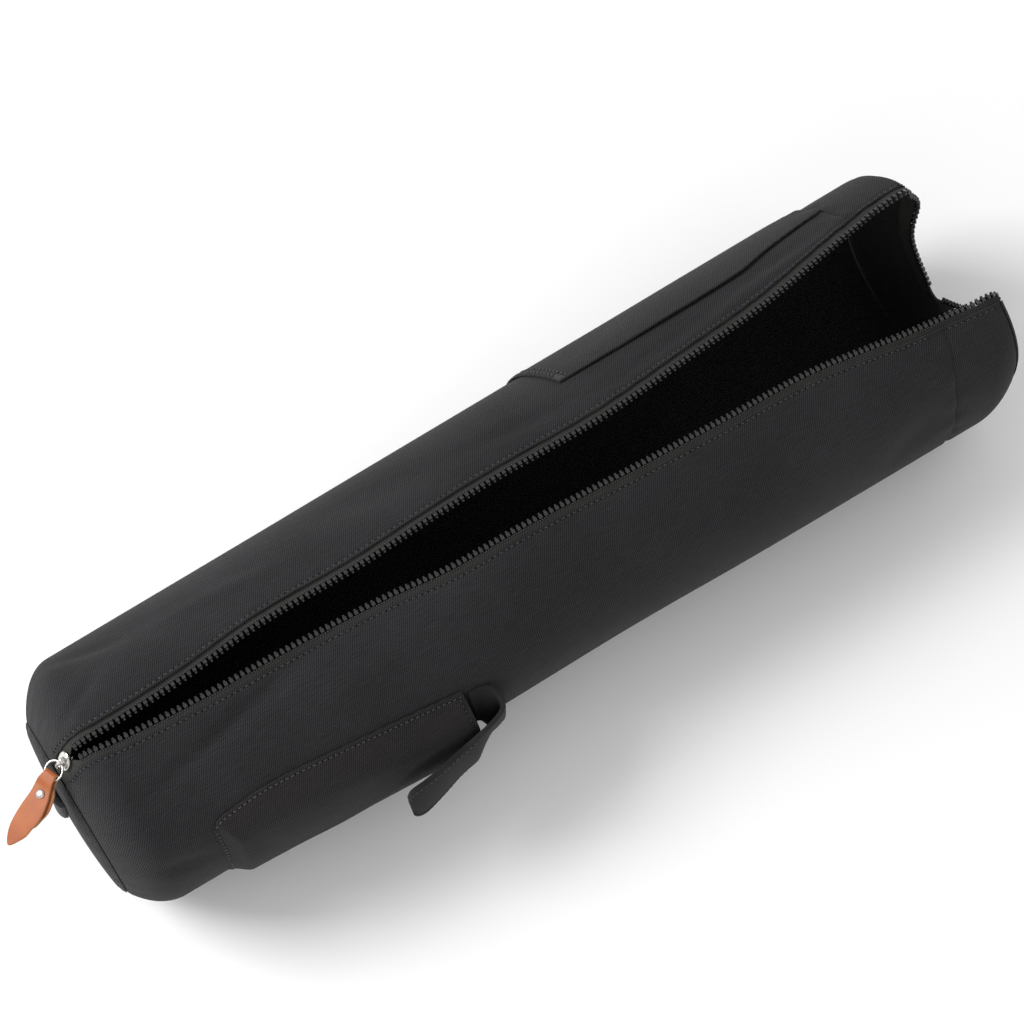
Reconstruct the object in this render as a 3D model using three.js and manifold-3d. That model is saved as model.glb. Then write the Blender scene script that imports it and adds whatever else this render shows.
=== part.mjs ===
// A long round canvas bag, lying on its side with its zip open.
// Millimetres, +Z up. +X runs to the open end, -Y is the near side with the gusseted pocket.
// The origin is on the flat strip that the bag rests on, under its middle.
import * as THREE from 'three';
import { mergeVertices } from 'three/addons/utils/BufferGeometryUtils.js';
import Module from 'manifold-3d';

const wasm = await Module();
wasm.setup();

// Driving dimensions of the bag
const bagLength = 669;
const closedWidth = 172;
const openWidth = 188;
const bagHeight = 174;
const widestHeight = 86;
const restWidth = 55;
const canvasWall = 2;
const sewnGap = 0.3;

// Rounded shoulders: how far one runs along the bag, and how far its ellipse would reach.
// The open end's shoulder is short, and runs on by the soft shoulder where that angle faces
const closedShoulder = 30.5;
const closedReach = 45;
const closedDrop = 12;
const openShoulder = 8;
const openReach = 60;
const softShoulder = 22;
const softAngle = 105;

// Round ends and the band at the open end
const closedDome = 5;
const domeFullness = 2.4;
const openDome = 7;
const bandWidth = 56;
const bandLean = 18;
const openSetback = 3;
const openYaw = 14;

// Zip
const toothRow = 4;
const toothHeight = 3.4;
const tapeThickness = 1;
const tapeShown = 4.2;
const tapeHidden = 6;
const splitDepth = 98;
const splitFullness = 2.4;
const splitCorner = 13;
const splitStop = 4;

// Slider, in its own frame: length runs towards the closed end, height away from the bag
const sliderSetback = 8.2;
const sliderAngle = -2.3;
const sliderLength = 14;
const sliderWidth = 10.5;
const sliderPlate = 1.6;
const sliderClearance = 0.4;
const neckLength = 4;
const neckWidth = 2.6;
const bailWidth = 3;
const bailBar = 1.3;
const bailRoom = 2.6;
const bailForward = 1.5;
const bailInset = 0.6;
const plateLap = 0.2;

// Ring and leather pull
const ringRadius = 6.1;
const ringWire = 0.7;
const ringTurn = 8;
const ringDip = 22;
const pullTurn = 25;
const pullLength = 49.5;
const pullWidth = 17;
const foldWidth = 9.2;
const backLeafShare = 0.8;
const backLeafSide = 1.2;
const leatherThickness = 1.6;
const foldRoom = 0.35;
const leafGap = 0.3;
const rivetSetback = 12.6;
const rivetSide = 1.4;
const rivetRadius = 2.9;
const rivetShank = 1.4;
const rivetHead = 1.1;

// Gusseted pocket on the near side and its tongue
const pocketStart = 62;
const pocketLength = 176;
const pocketLowAngle = 118;
const pocketDepthClosed = 7;
const pocketDepthMouth = 15;
const pocketWall = 2;
const flapThickness = 3;
const flapWidth = 37;

// Flat pocket on the far side
const patchLength = 222;
const patchLowAngle = 112;
const patchWall = 1.6;
const patchGape = 1.6;
const gapeReach = 0.4;

// Webbing loop on the closed end
const loopSpan = 15;
const loopStand = 4.5;
const loopWebbing = 22;
const loopWall = 1.8;
const loopHeight = 100;
const loopSide = 0.5;

// Edges of the zip's opening, in degrees from the top: far is the far side, near the near side
const openingEdges = [
  { at: 0.000, far: -2.8, near: -1.8 },
  { at: 0.022, far: -1.2, near: 0.6 },
  { at: 0.050, far: 0.2, near: 3.6 },
  { at: 0.140, far: -1.2, near: 6.6 },
  { at: 0.220, far: -4.8, near: 7.4 },
  { at: 0.330, far: -4.6, near: 9.8 },
  { at: 0.400, far: -6.2, near: 13.0 },
  { at: 0.480, far: -7.2, near: 13.4 },
  { at: 0.600, far: -6.4, near: 16.0 },
  { at: 0.700, far: -9.6, near: 17.8 },
  { at: 0.800, far: -13.4, near: 19.4 },
  { at: 0.900, far: -20.4, near: 25.6 },
  { at: 1.000, far: -26.6, near: 30.6 },
];

// Soft dents: place and half length as shares of the bag's length, angle and half width in
// degrees, slant in degrees over the bag's length, depth as a share of the bag's height
const dents = [
  { at: 0.16, angle: 25, long: 0.085, wide: 8, slant: -90, depth: 0.020 },
  { at: 0.07, angle: 34, long: 0.050, wide: 14, slant: 80, depth: 0.012 },
  { at: 0.05, angle: -30, long: 0.035, wide: 12, slant: -120, depth: 0.014 },
  { at: 0.12, angle: -42, long: 0.050, wide: 10, slant: 150, depth: 0.012 },
  { at: 0.38, angle: -34, long: 0.060, wide: 9, slant: 90, depth: 0.012 },
  { at: 0.72, angle: 46, long: 0.090, wide: 16, slant: 60, depth: 0.012 },
  { at: 0.64, angle: -52, long: 0.070, wide: 12, slant: -60, depth: 0.009 },
  { at: 0.52, angle: 100, long: 0.120, wide: 14, slant: 40, depth: 0.012 },
  { at: 0.88, angle: 74, long: 0.040, wide: 10, slant: -120, depth: 0.014 },
  { at: 0.30, angle: -96, long: 0.110, wide: 16, slant: -50, depth: 0.013 },
  { at: 0.78, angle: -102, long: 0.100, wide: 14, slant: 60, depth: 0.011 },
];

// How the gusseted pocket rises from its sewn edges, as shares of its size and of its depth
const pocketRiseAlong = [
  { at: 0.000, rise: 0.00 },
  { at: 0.012, rise: 0.60 },
  { at: 0.035, rise: 0.92 },
  { at: 0.100, rise: 1.00 },
  { at: 0.300, rise: 0.97 },
  { at: 0.550, rise: 1.02 },
  { at: 0.800, rise: 0.97 },
  { at: 1.000, rise: 1.00 },
];
const pocketRiseAcross = [
  { at: 0.00, rise: 0.00 },
  { at: 0.03, rise: 0.55 },
  { at: 0.09, rise: 0.86 },
  { at: 0.22, rise: 1.00 },
  { at: 0.50, rise: 1.04 },
  { at: 0.78, rise: 1.00 },
  { at: 0.91, rise: 0.86 },
  { at: 0.97, rise: 0.55 },
  { at: 1.00, rise: 0.00 },
];
const pocketRows = 10;
const pocketColumns = 11;
// The pocket's upper sewn line, in degrees from the top, along its length
const pocketUpperEdge = [
  { at: 0.00, angle: 56 },
  { at: 0.25, angle: 54 },
  { at: 0.60, angle: 58 },
  { at: 1.00, angle: 64 },
];

// The tongue's run past the mouth as a share of the pocket's length, its height over the bag as
// a share of the pocket's depth at the mouth, its width as a share of its full width, and the
// angle of its middle in degrees from the top
const flapPath = [
  { run: 0.022, off: 0.00, width: 1.00, angle: 79 },
  { run: 0.070, off: 0.03, width: 1.00, angle: 79 },
  { run: 0.104, off: 0.25, width: 1.00, angle: 80 },
  { run: 0.118, off: 0.60, width: 1.00, angle: 82 },
  { run: 0.100, off: 0.98, width: 1.00, angle: 84 },
  { run: 0.050, off: 1.20, width: 1.00, angle: 85 },
  { run: -0.030, off: 1.36, width: 1.00, angle: 86 },
  { run: -0.120, off: 1.50, width: 1.02, angle: 87 },
  { run: -0.210, off: 1.72, width: 1.04, angle: 87 },
  { run: -0.285, off: 1.84, width: 0.96, angle: 87 },
  { run: -0.328, off: 1.82, width: 0.76, angle: 87 },
  { run: -0.350, off: 1.76, width: 0.44, angle: 87 },
];

// The far pocket's mouth, in degrees from the top, along its length
const patchMouth = [
  { at: 0.00, angle: 33.5 },
  { at: 0.62, angle: 34.0 },
  { at: 0.77, angle: 39.0 },
  { at: 1.00, angle: 45.0 },
];

// The leather leaf's edges, left and right of its middle, as shares of its width
const leafOutline = [
  { at: 0.00, left: 0.27, right: 0.27 },
  { at: 0.12, left: 0.35, right: 0.32 },
  { at: 0.28, left: 0.33, right: 0.48 },
  { at: 0.50, left: 0.38, right: 0.58 },
  { at: 0.67, left: 0.39, right: 0.50 },
  { at: 0.80, left: 0.35, right: 0.42 },
  { at: 0.90, left: 0.25, right: 0.25 },
  { at: 0.97, left: 0.13, right: 0.11 },
  { at: 1.00, left: 0.04, right: 0.02 },
];

const DEGREE = Math.PI / 180;
const closedSeam = -bagLength / 2;
const openSeam = bagLength / 2;
const canvasEdge = toothRow + tapeShown;

/** Reads one column of a table at any share, smoothly between its rows. */
function reader(table, column) {
  const places = table.map((row) => row.at);
  const values = table.map((row) => row[column]);
  const curve = new THREE.CubicInterpolant(places, values, 1);
  const last = places[places.length - 1];
  return (share) => curve.evaluate(THREE.MathUtils.clamp(share, places[0], last))[0];
}

/** Reads one column of a table at any share, straight between its rows. */
function straightReader(table, column) {
  return (share) => {
    const next = Math.max(1, table.findIndex((row) => row.at >= share));
    const [from, to] = [table[next - 1], table[next]];
    return THREE.MathUtils.mapLinear(share, from.at, to.at, from[column], to[column]);
  };
}

/** The places of a table's rows with even steps between them. */
function placesOf(table, steps) {
  const even = Array.from({ length: steps - 1 }, (_, i) => (i + 1) / steps);
  const near = (place) => table.some((row) => Math.abs(row.at - place) < 0.5 / steps);
  return [...table.map((row) => row.at), ...even.filter((place) => !near(place))].sort((a, b) => a - b);
}

const farEdge = reader(openingEdges, 'far');
const nearEdge = reader(openingEdges, 'near');

const shareAt = (x) => THREE.MathUtils.clamp((x - closedSeam) / bagLength, 0, 1);

/** Where the open end's plane lies, from 1 at its near side, further out, to -1 at its far side. */
const endPlaneAt = (side) => openSeam - openSetback + (openYaw * side) / 2;

/** Where the open end's rim lies at an angle. */
const rimAt = (angle) => endPlaneAt(Math.sin(angle * DEGREE));

/** How far the open end's shoulder runs along the bag at an angle. */
function openShoulderAt(angle) {
  const facing = Math.max(0, Math.cos((angle - softAngle) * DEGREE));
  return openShoulder + softShoulder * facing ** 2;
}

/** Where the band's seam lies: it leans to the rim at the top. */
const bandSeamAt = (angle) => rimAt(angle) - bandWidth + bandLean * Math.max(0, Math.cos(angle * DEGREE)) ** 2;

/** The radii and the middle height of the bag's section at x, as an angle sees the rim. */
function section(x, angle = 90) {
  const width = THREE.MathUtils.lerp(closedWidth, openWidth, shareAt(x)) / 2;
  const closed = Math.max(0, closedSeam + closedShoulder - x);
  const open = Math.max(0, x - rimAt(angle) + openShoulderAt(angle));
  const shrink = Math.sqrt(1 - (closed / closedReach) ** 2) * Math.sqrt(1 - (open / openReach) ** 2);
  const floorAngle = Math.asin(restWidth / 2 / width);
  return {
    half: width * shrink,
    rise: (bagHeight - widestHeight) * shrink,
    fall: (widestHeight / Math.cos(floorAngle)) * shrink,
    middle: widestHeight - closedDrop * (closed / closedShoulder) ** 2,
    floorAngle: floorAngle / DEGREE,
  };
}

/** How deep the soft dents go at x and at an angle from the top. */
function dentDepth(x, angle) {
  const share = shareAt(x);
  let depth = 0;
  for (const dent of dents) {
    const along = (share - dent.at) / dent.long;
    const centre = dent.angle + dent.slant * (share - dent.at);
    const turn = THREE.MathUtils.euclideanModulo(angle - centre + 180, 360) - 180;
    depth += dent.depth * bagHeight * Math.exp(-(along ** 2) - (turn / dent.wide) ** 2);
  }
  return depth;
}

/** A point at x and at an angle from the top, some depth under the bag's outer surface. */
function surface(x, angle, depth) {
  const shape = section(x, angle);
  const inset = depth + dentDepth(x, angle);
  const side = Math.sin(angle * DEGREE);
  const up = Math.cos(angle * DEGREE);
  const floor = shape.middle - shape.fall * Math.cos(shape.floorAngle * DEGREE) + depth;
  const height = up >= 0
    ? shape.middle + (shape.rise - inset) * up
    : Math.max(floor, shape.middle + (shape.fall - inset) * up);
  return new THREE.Vector3(x, -(shape.half - inset) * side, height);
}

/** A point on the open end's rim, some depth under the outer surface. */
const rimPoint = (angle, depth) => surface(rimAt(angle), angle, depth);

/** Turns millimetres around the bag's upper side at x into degrees. */
const degreesAround = (x, length) => length / section(x, 0).half / DEGREE;

/** Angles around the canvas, from its near zip edge over the floor to its far one. */
function canvasAngles(x, sideSteps, floorSteps) {
  const floor = section(x).floorAngle;
  const edge = degreesAround(x, canvasEdge);
  const near = nearEdge(shareAt(x)) + edge;
  const far = 360 + farEdge(shareAt(x)) - edge;
  const lap = degreesAround(x, tapeHidden + 1);
  const stops = [
    [near + lap, 180 - floor, sideSteps],
    [180 - floor, 180 + floor, floorSteps],
    [180 + floor, far - lap, sideSteps],
    [far - lap, far, 1],
  ];
  const angles = [near, near + lap];
  for (const [from, to, steps] of stops) {
    for (let step = 1; step <= steps; step++) angles.push(THREE.MathUtils.lerp(from, to, step / steps));
  }
  return angles;
}

/** A geometry from points and faces, turned so that its faces point out. */
function closedGeometry(points, faces) {
  let volume = 0;
  for (let i = 0; i < faces.length; i += 3) {
    const [a, b, c] = [points[faces[i]], points[faces[i + 1]], points[faces[i + 2]]];
    volume += a.dot(new THREE.Vector3().crossVectors(b, c));
  }
  if (volume < 0) faces.reverse();
  const geometry = new THREE.BufferGeometry().setFromPoints(points);
  geometry.setIndex(faces);
  geometry.computeVertexNormals();
  return geometry;
}

/** A closed sheet between two grids of points, such as cloth between its two faces. */
function sheetBetween(outer, inner) {
  const rows = outer.length;
  const columns = outer[0].length;
  const points = [...outer.flat(), ...inner.flat()];
  const place = (side, row, column) => (side * rows + row) * columns + column;
  const faces = [];
  const quad = (a, b, c, d) => faces.push(a, b, c, a, c, d);
  for (let row = 0; row < rows - 1; row++) {
    for (let column = 0; column < columns - 1; column++) {
      quad(place(0, row, column), place(0, row, column + 1), place(0, row + 1, column + 1), place(0, row + 1, column));
      quad(place(1, row, column), place(1, row + 1, column), place(1, row + 1, column + 1), place(1, row, column + 1));
    }
  }
  for (let column = 0; column < columns - 1; column++) {
    quad(place(0, 0, column + 1), place(0, 0, column), place(1, 0, column), place(1, 0, column + 1));
    const end = rows - 1;
    quad(place(0, end, column), place(0, end, column + 1), place(1, end, column + 1), place(1, end, column));
  }
  for (let row = 0; row < rows - 1; row++) {
    quad(place(0, row, 0), place(0, row + 1, 0), place(1, row + 1, 0), place(1, row, 0));
    const end = columns - 1;
    quad(place(0, row + 1, end), place(0, row, end), place(1, row, end), place(1, row + 1, end));
  }
  return closedGeometry(points, faces);
}

/** A closed solid through rings of points, with a pole at each end. */
function loftBetweenPoles(firstPole, rings, lastPole) {
  const count = rings[0].length;
  const points = [firstPole, ...rings.flat(), lastPole];
  const place = (ring, index) => 1 + ring * count + (index % count);
  const faces = [];
  for (let index = 0; index < count; index++) {
    faces.push(0, place(0, index + 1), place(0, index));
    faces.push(points.length - 1, place(rings.length - 1, index), place(rings.length - 1, index + 1));
    for (let ring = 0; ring < rings.length - 1; ring++) {
      const [a, b] = [place(ring, index), place(ring, index + 1)];
      const [c, d] = [place(ring + 1, index + 1), place(ring + 1, index)];
      faces.push(a, b, c, a, c, d);
    }
  }
  return closedGeometry(points, faces);
}

/** A closed manifold solid from a three.js geometry. */
function toSolid(geometry) {
  const bare = new THREE.BufferGeometry().setAttribute('position', geometry.getAttribute('position').clone());
  if (geometry.index) bare.setIndex(geometry.index);
  const merged = mergeVertices(bare, 1e-3);
  return new wasm.Manifold(new wasm.Mesh({
    numProp: 3,
    vertProperties: new Float32Array(merged.getAttribute('position').array),
    triVerts: new Uint32Array(merged.index.array),
  }));
}

/** A three.js geometry from a manifold solid. */
function fromSolid(solid) {
  const mesh = solid.getMesh();
  const geometry = new THREE.BufferGeometry();
  geometry.setAttribute('position', new THREE.BufferAttribute(new Float32Array(mesh.vertProperties), 3));
  geometry.setIndex(new THREE.BufferAttribute(new Uint32Array(mesh.triVerts), 1));
  geometry.computeVertexNormals();
  return geometry;
}

const canvas = new THREE.MeshStandardMaterial({ color: 0x2b2b2f, roughness: 0.92, metalness: 0 });
const tapeCloth = new THREE.MeshStandardMaterial({ color: 0x3a3a37, roughness: 0.85, metalness: 0 });
const toothPlastic = new THREE.MeshStandardMaterial({ color: 0x121213, roughness: 0.25, metalness: 0 });
const nickel = new THREE.MeshStandardMaterial({ color: 0xd8d6d2, roughness: 0.22, metalness: 1 });
const leather = new THREE.MeshStandardMaterial({ color: 0xcd7a48, roughness: 0.55, metalness: 0 });

const bag = new THREE.Group();

/** Adds one named piece to the bag. */
function addPiece(name, geometry, material) {
  const mesh = new THREE.Mesh(geometry, material);
  mesh.name = name;
  bag.add(mesh);
}

/** A canvas wall round the bag between two seams, each given by angle. */
function canvasTube(startAt, endAt, rowShares) {
  const sideSteps = 12;
  const floorSteps = 3;
  const grid = (depth) => rowShares.map((share) => {
    const middle = THREE.MathUtils.lerp(startAt(0), endAt(0), share);
    return canvasAngles(middle, sideSteps, floorSteps).map((angle) => {
      const x = THREE.MathUtils.lerp(startAt(angle), endAt(angle), share);
      return surface(x, angle, depth);
    });
  });
  return sheetBetween(grid(0), grid(canvasWall));
}

/** Shares of a run with extra rows over the shoulder at its start. */
function sharesWithShoulder(shoulder, run, shoulderRows, plainRows) {
  const shares = [];
  const turn = shoulder / run;
  for (let row = 0; row < shoulderRows; row++) shares.push((turn * row) / shoulderRows);
  for (let row = 0; row <= plainRows; row++) shares.push(THREE.MathUtils.lerp(turn, 1, row / plainRows));
  return shares;
}

const mainRows = sharesWithShoulder(closedShoulder, bandSeamAt(0) - closedSeam, 5, 22);
const bandRows = [0, 0.2, 0.42, 0.6, 0.75, 0.88, 1];

function addCanvasWalls() {
  addPiece('main_panel', canvasTube(() => closedSeam, bandSeamAt, mainRows), canvas);
  addPiece('end_band', canvasTube((angle) => bandSeamAt(angle) + sewnGap, rimAt, bandRows), canvas);
}

/** The outer face of the closed end at a share of its radius and an angle. */
function closedEndPoint(share, angle, depth) {
  const shape = section(closedSeam);
  const edge = surface(closedSeam, angle, 0);
  const bulge = closedDome * (1 - share ** domeFullness);
  const x = closedSeam - sewnGap - canvasWall - bulge + depth;
  return new THREE.Vector3(x, edge.y * share, shape.middle + (edge.z - shape.middle) * share);
}

/** The closed end's outer face at a place across it. */
function closedEndAt(y, z) {
  const shape = section(closedSeam);
  const share = Math.hypot(y / shape.half, (z - shape.middle) / shape.rise);
  return closedEndPoint(Math.min(1, share), 0, 0).x;
}

function addClosedEnd() {
  const sides = 40;
  const shares = [0.25, 0.5, 0.72, 0.88, 1];
  const ring = (share, depth) => Array.from({ length: sides }, (_, i) => closedEndPoint(share, (i * 360) / sides, depth));
  const inner = shares.map((share) => ring(share, canvasWall));
  const outer = [...shares].reverse().map((share) => ring(share, 0));
  const poles = [closedEndPoint(0, 0, canvasWall), closedEndPoint(0, 0, 0)];
  addPiece('closed_end_panel', loftBetweenPoles(poles[0], [...inner, ...outer], poles[1]), canvas);
}

/** The outer face of the open end at a place across it. */
function openEndAt(y, z) {
  const crown = section(openSeam, 0);
  const angle = Math.atan2(-y / crown.half, (z - crown.middle) / crown.rise) / DEGREE;
  const shape = section(rimAt(angle), angle);
  const share = Math.min(1, Math.hypot(y / shape.half, (z - shape.middle) / shape.rise));
  return endPlaneAt(-y / shape.half) + sewnGap + canvasWall + openDome * (1 - share ** 2);
}

/**
 * The split down the open end, on one side. Its edge hangs down from the rim and bends to the
 * point at the foot. A place on it has its own directions down the edge and away from the gap.
 */
function splitEdge(side) {
  const top = rimPoint(side > 0 ? nearEdge(1) : farEdge(1), 0);
  const fall = top.z - (rimPoint(0, 0).z - splitDepth);
  const at = (share) => {
    const slope = -top.y * splitFullness * share ** (splitFullness - 1);
    const down = new THREE.Vector2(slope, -fall).normalize();
    return {
      place: new THREE.Vector2(top.y * (1 - share ** splitFullness), top.z - fall * share),
      away: new THREE.Vector2(down.y * side, -down.x * side),
    };
  };
  /** A place beside the edge, across the open end. */
  const beside = (share, distance) => {
    const { place, away } = at(share);
    return place.addScaledVector(away, distance);
  };
  /** How far the canvas beside the split bows out from a straight line between foot and rim. */
  const bow = (share) => {
    const straight = beside(1, canvasEdge).lerp(beside(0, canvasEdge), share);
    return beside(1 - share, canvasEdge).sub(straight);
  };
  return { fall, at, beside, bow };
}

function addOpenEnd() {
  const near = splitEdge(1);
  const far = splitEdge(-1);
  const foot = near.at(1).place;
  const nearTurn = near.at(1).away.angle();
  const turn = THREE.MathUtils.euclideanModulo(far.at(1).away.angle() - nearTurn, 2 * Math.PI);
  const bowedShare = 0.45;
  const angles = canvasAngles(openSeam, 14, 3);
  const shares = [0, 0.18, 0.36, 0.54, 0.7, 0.84, 0.94, 1];
  const grid = (depth) => angles.map((angle, i) => {
    const round = i / (angles.length - 1);
    const direction = nearTurn + turn * round;
    const hub = new THREE.Vector2(Math.cos(direction), Math.sin(direction)).multiplyScalar(canvasEdge).add(foot);
    const edge = rimPoint(angle, 0);
    const rim = new THREE.Vector2(edge.y, edge.z);
    return shares.map((share) => {
      const spot = hub.clone().lerp(rim, share);
      spot.addScaledVector(near.bow(share), Math.max(0, 1 - round / bowedShare));
      spot.addScaledVector(far.bow(share), Math.max(0, 1 - (1 - round) / bowedShare));
      return new THREE.Vector3(openEndAt(spot.x, spot.y) - depth, spot.x, spot.y);
    });
  });
  addPiece('open_end_panel', sheetBetween(grid(0), grid(canvasWall)), canvas);
}

/** One side of the zip as a strip: along the top, round the corner and down the split end. */
function zipStrip(side, band, start, stop) {
  const edgeAt = side > 0 ? nearEdge : farEdge;
  const split = splitEdge(side);
  const corners = [[band.from, band.top], [band.to, band.top], [band.to, band.foot], [band.from, band.foot]];
  const seam = bandSeamAt(edgeAt(1));
  const rim = rimAt(edgeAt(1));
  const along = [
    ...mainRows.map((share) => {
      const edge = edgeAt(shareAt(THREE.MathUtils.lerp(closedSeam, seam, share)));
      return THREE.MathUtils.lerp(closedSeam, bandSeamAt(edge), share);
    }),
    ...bandRows.slice(1, -1).map((share) => THREE.MathUtils.lerp(seam, rim, share)),
  ];
  const rows = [start, ...along.filter((x) => x > start + sewnGap)].map((x) => corners.map(([away, depth]) => {
    return surface(x, edgeAt(shareAt(x)) + side * degreesAround(x, away), depth);
  }));
  rows.push(corners.map(([away, depth]) => {
    const point = rimPoint(edgeAt(1) + side * degreesAround(openSeam, away), depth);
    point.x = openEndAt(point.y, point.z) - depth;
    return point;
  }));
  const endSteps = 8;
  for (let step = 0; step < endSteps; step++) {
    const share = THREE.MathUtils.lerp(splitCorner / split.fall, 1 - stop / split.fall, step / (endSteps - 1));
    rows.push(corners.map(([away, depth]) => {
      const spot = split.beside(share, away);
      return new THREE.Vector3(openEndAt(spot.x, spot.y) - depth, spot.x, spot.y);
    }));
  }
  const outer = rows.map((row) => [row[0], row[1]]);
  const inner = rows.map((row) => [row[3], row[2]]);
  return sheetBetween(outer, inner);
}

function addZip() {
  const tapeTop = canvasWall + sewnGap;
  const tapeMiddle = tapeTop + tapeThickness / 2;
  const tape = {
    from: toothRow + sewnGap,
    to: canvasEdge + tapeHidden,
    top: tapeTop,
    foot: tapeTop + tapeThickness,
  };
  const teeth = { from: 0, to: toothRow, top: tapeMiddle - toothHeight / 2, foot: tapeMiddle + toothHeight / 2 };
  const tapeStart = closedSeam + sewnGap;
  const toothStart = closedSeam + sliderSetback + sliderLength / 2 + sewnGap;
  for (const [name, side] of [['far', -1], ['near', 1]]) {
    addPiece(`${name}_zip_tape`, zipStrip(side, tape, tapeStart, 0), tapeCloth);
    addPiece(`${name}_zip_teeth`, zipStrip(side, teeth, toothStart, splitStop), toothPlastic);
  }
}

/** The slider's frame on the tape: towards the closed end, towards the near side, and outwards. */
function sliderFrame() {
  const x = closedSeam + sliderSetback;
  const depth = canvasWall + sewnGap;
  const step = 0.5;
  const origin = surface(x, sliderAngle, depth);
  const forward = surface(x - step, sliderAngle, depth).sub(surface(x + step, sliderAngle, depth)).normalize();
  const across = surface(x, sliderAngle + step, depth).sub(surface(x, sliderAngle - step, depth)).normalize();
  const out = new THREE.Vector3().crossVectors(forward, across).normalize();
  across.crossVectors(out, forward);
  return { origin, forward, across, out };
}

/** A plate with an oval outline, lying flat at a height in the slider's own frame. */
function ovalPlate(length, width, height, thickness) {
  const outline = new THREE.Shape();
  outline.absellipse(0, 0, length / 2, width / 2, 0, 2 * Math.PI);
  const plate = new THREE.ExtrudeGeometry(outline, { depth: thickness, bevelEnabled: false, curveSegments: 10 });
  return plate.translate(0, 0, height);
}

/** The arched bar over the slider that holds the ring. */
function bailGeometry(plateTop) {
  const outer = sliderLength / 2 - bailInset;
  const inner = outer - bailBar;
  const top = plateTop + bailRoom;
  const arch = new THREE.Shape();
  arch.moveTo(-outer, plateTop - sliderPlate / 2);
  arch.lineTo(-outer + bailBar / 2, top);
  arch.quadraticCurveTo(-outer + bailBar, top + bailBar, -inner / 2, top + bailBar);
  arch.lineTo(inner / 2, top + bailBar);
  arch.quadraticCurveTo(outer, top + bailBar, outer, plateTop - sliderPlate / 2);
  arch.lineTo(inner, plateTop - sliderPlate / 2);
  arch.quadraticCurveTo(inner, top, inner / 2, top);
  arch.lineTo(-inner / 2, top);
  arch.lineTo(-inner, top - bailBar / 2);
  arch.lineTo(-inner, plateTop - sliderPlate / 2);
  arch.closePath();
  const bar = new THREE.ExtrudeGeometry(arch, { depth: bailWidth, bevelEnabled: false, curveSegments: 4 });
  return bar.translate(0, 0, -bailWidth / 2).rotateX(Math.PI / 2);
}

function addSlider() {
  const frame = sliderFrame();
  const under = tapeThickness + sliderClearance;
  const plateTop = sliderClearance + sliderPlate;
  const neckHeight = plateTop + under + sliderPlate / 2 - plateLap;
  const neck = new THREE.BoxGeometry(neckLength, neckWidth, neckHeight);
  neck.translate(-sliderLength / 4, 0, plateTop - plateLap - neckHeight / 2);
  const parts = [
    ovalPlate(sliderLength, sliderWidth, sliderClearance, sliderPlate),
    ovalPlate(sliderLength, sliderWidth, -under - sliderPlate, sliderPlate),
    neck,
    bailGeometry(plateTop),
  ];
  const joined = parts.map(toSolid).reduce((body, part) => body.add(part));
  const geometry = fromSolid(joined);
  const place = new THREE.Matrix4().makeBasis(frame.forward, frame.across, frame.out).setPosition(frame.origin);
  geometry.applyMatrix4(place);
  addPiece('zip_slider', geometry, nickel);
}

/** A direction towards the closed end, turned to the near side and dipped below level. */
function directionOut(turn, dip) {
  const level = Math.cos(dip * DEGREE);
  const x = -Math.cos(turn * DEGREE) * level;
  const y = -Math.sin(turn * DEGREE) * level;
  return new THREE.Vector3(x, y, -Math.sin(dip * DEGREE));
}

/** The ring: its middle, its plane and the place where the leather folds over it. */
function ringFrame() {
  const frame = sliderFrame();
  const thread = frame.origin.clone()
    .addScaledVector(frame.forward, bailForward)
    .addScaledVector(frame.out, sliderClearance + sliderPlate + bailRoom / 2);
  const out = directionOut(ringTurn, ringDip);
  const centre = thread.clone().addScaledVector(out, ringRadius);
  const normal = new THREE.Vector3().crossVectors(out, frame.across).normalize();
  const aim = directionOut(pullTurn, ringDip);
  const pull = aim.addScaledVector(normal, -aim.dot(normal)).normalize();
  const inside = ringRadius - ringWire;
  const foldDistance = Math.sqrt(inside ** 2 - (foldWidth / 2) ** 2) + ringWire;
  const fold = centre.clone().addScaledVector(pull, foldDistance);
  const face = normal.z > 0 ? normal : normal.negate();
  const along = new THREE.Vector3().crossVectors(face, pull).normalize();
  const wireReach = ringRadius + ringWire + foldRoom - foldDistance;
  return { centre, normal, pull, fold, along, face, wireReach };
}

function addRing() {
  const ring = ringFrame();
  const geometry = new THREE.TorusGeometry(ringRadius, ringWire, 6, 28);
  const turn = new THREE.Quaternion().setFromUnitVectors(new THREE.Vector3(0, 0, 1), ring.normal);
  geometry.applyQuaternion(turn).translate(ring.centre.x, ring.centre.y, ring.centre.z);
  addPiece('pull_ring', geometry, nickel);
}

/** Rows along the folded strip: distance down, height over its middle plane, and side shift. */
function foldedStripRows(middleRadius, wireReach) {
  const closing = leafGap / 2 + leatherThickness / 2;
  const settled = wireReach + 3 * middleRadius;
  const leaf = (side, length) => {
    const shares = [0.07, 0.14, 0.22, 0.35, 0.5, 0.62, 0.74, 0.84, 0.92, 0.97, 1];
    return shares.map((at) => {
      const down = at * length;
      const ease = THREE.MathUtils.smoothstep(down, wireReach, settled);
      const shift = side < 0 ? backLeafSide * ease : 0;
      return { down, height: side * THREE.MathUtils.lerp(middleRadius, closing, ease), at, shift };
    });
  };
  const back = leaf(-1, pullLength * backLeafShare).reverse();
  const front = leaf(1, pullLength);
  const bend = [-90, -60, -30, 0, 30, 60, 90].map((angle) => ({
    down: -middleRadius * Math.cos(angle * DEGREE),
    height: middleRadius * Math.sin(angle * DEGREE),
    at: 0,
    shift: 0,
  }));
  return [...back, ...bend, ...front];
}

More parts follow.
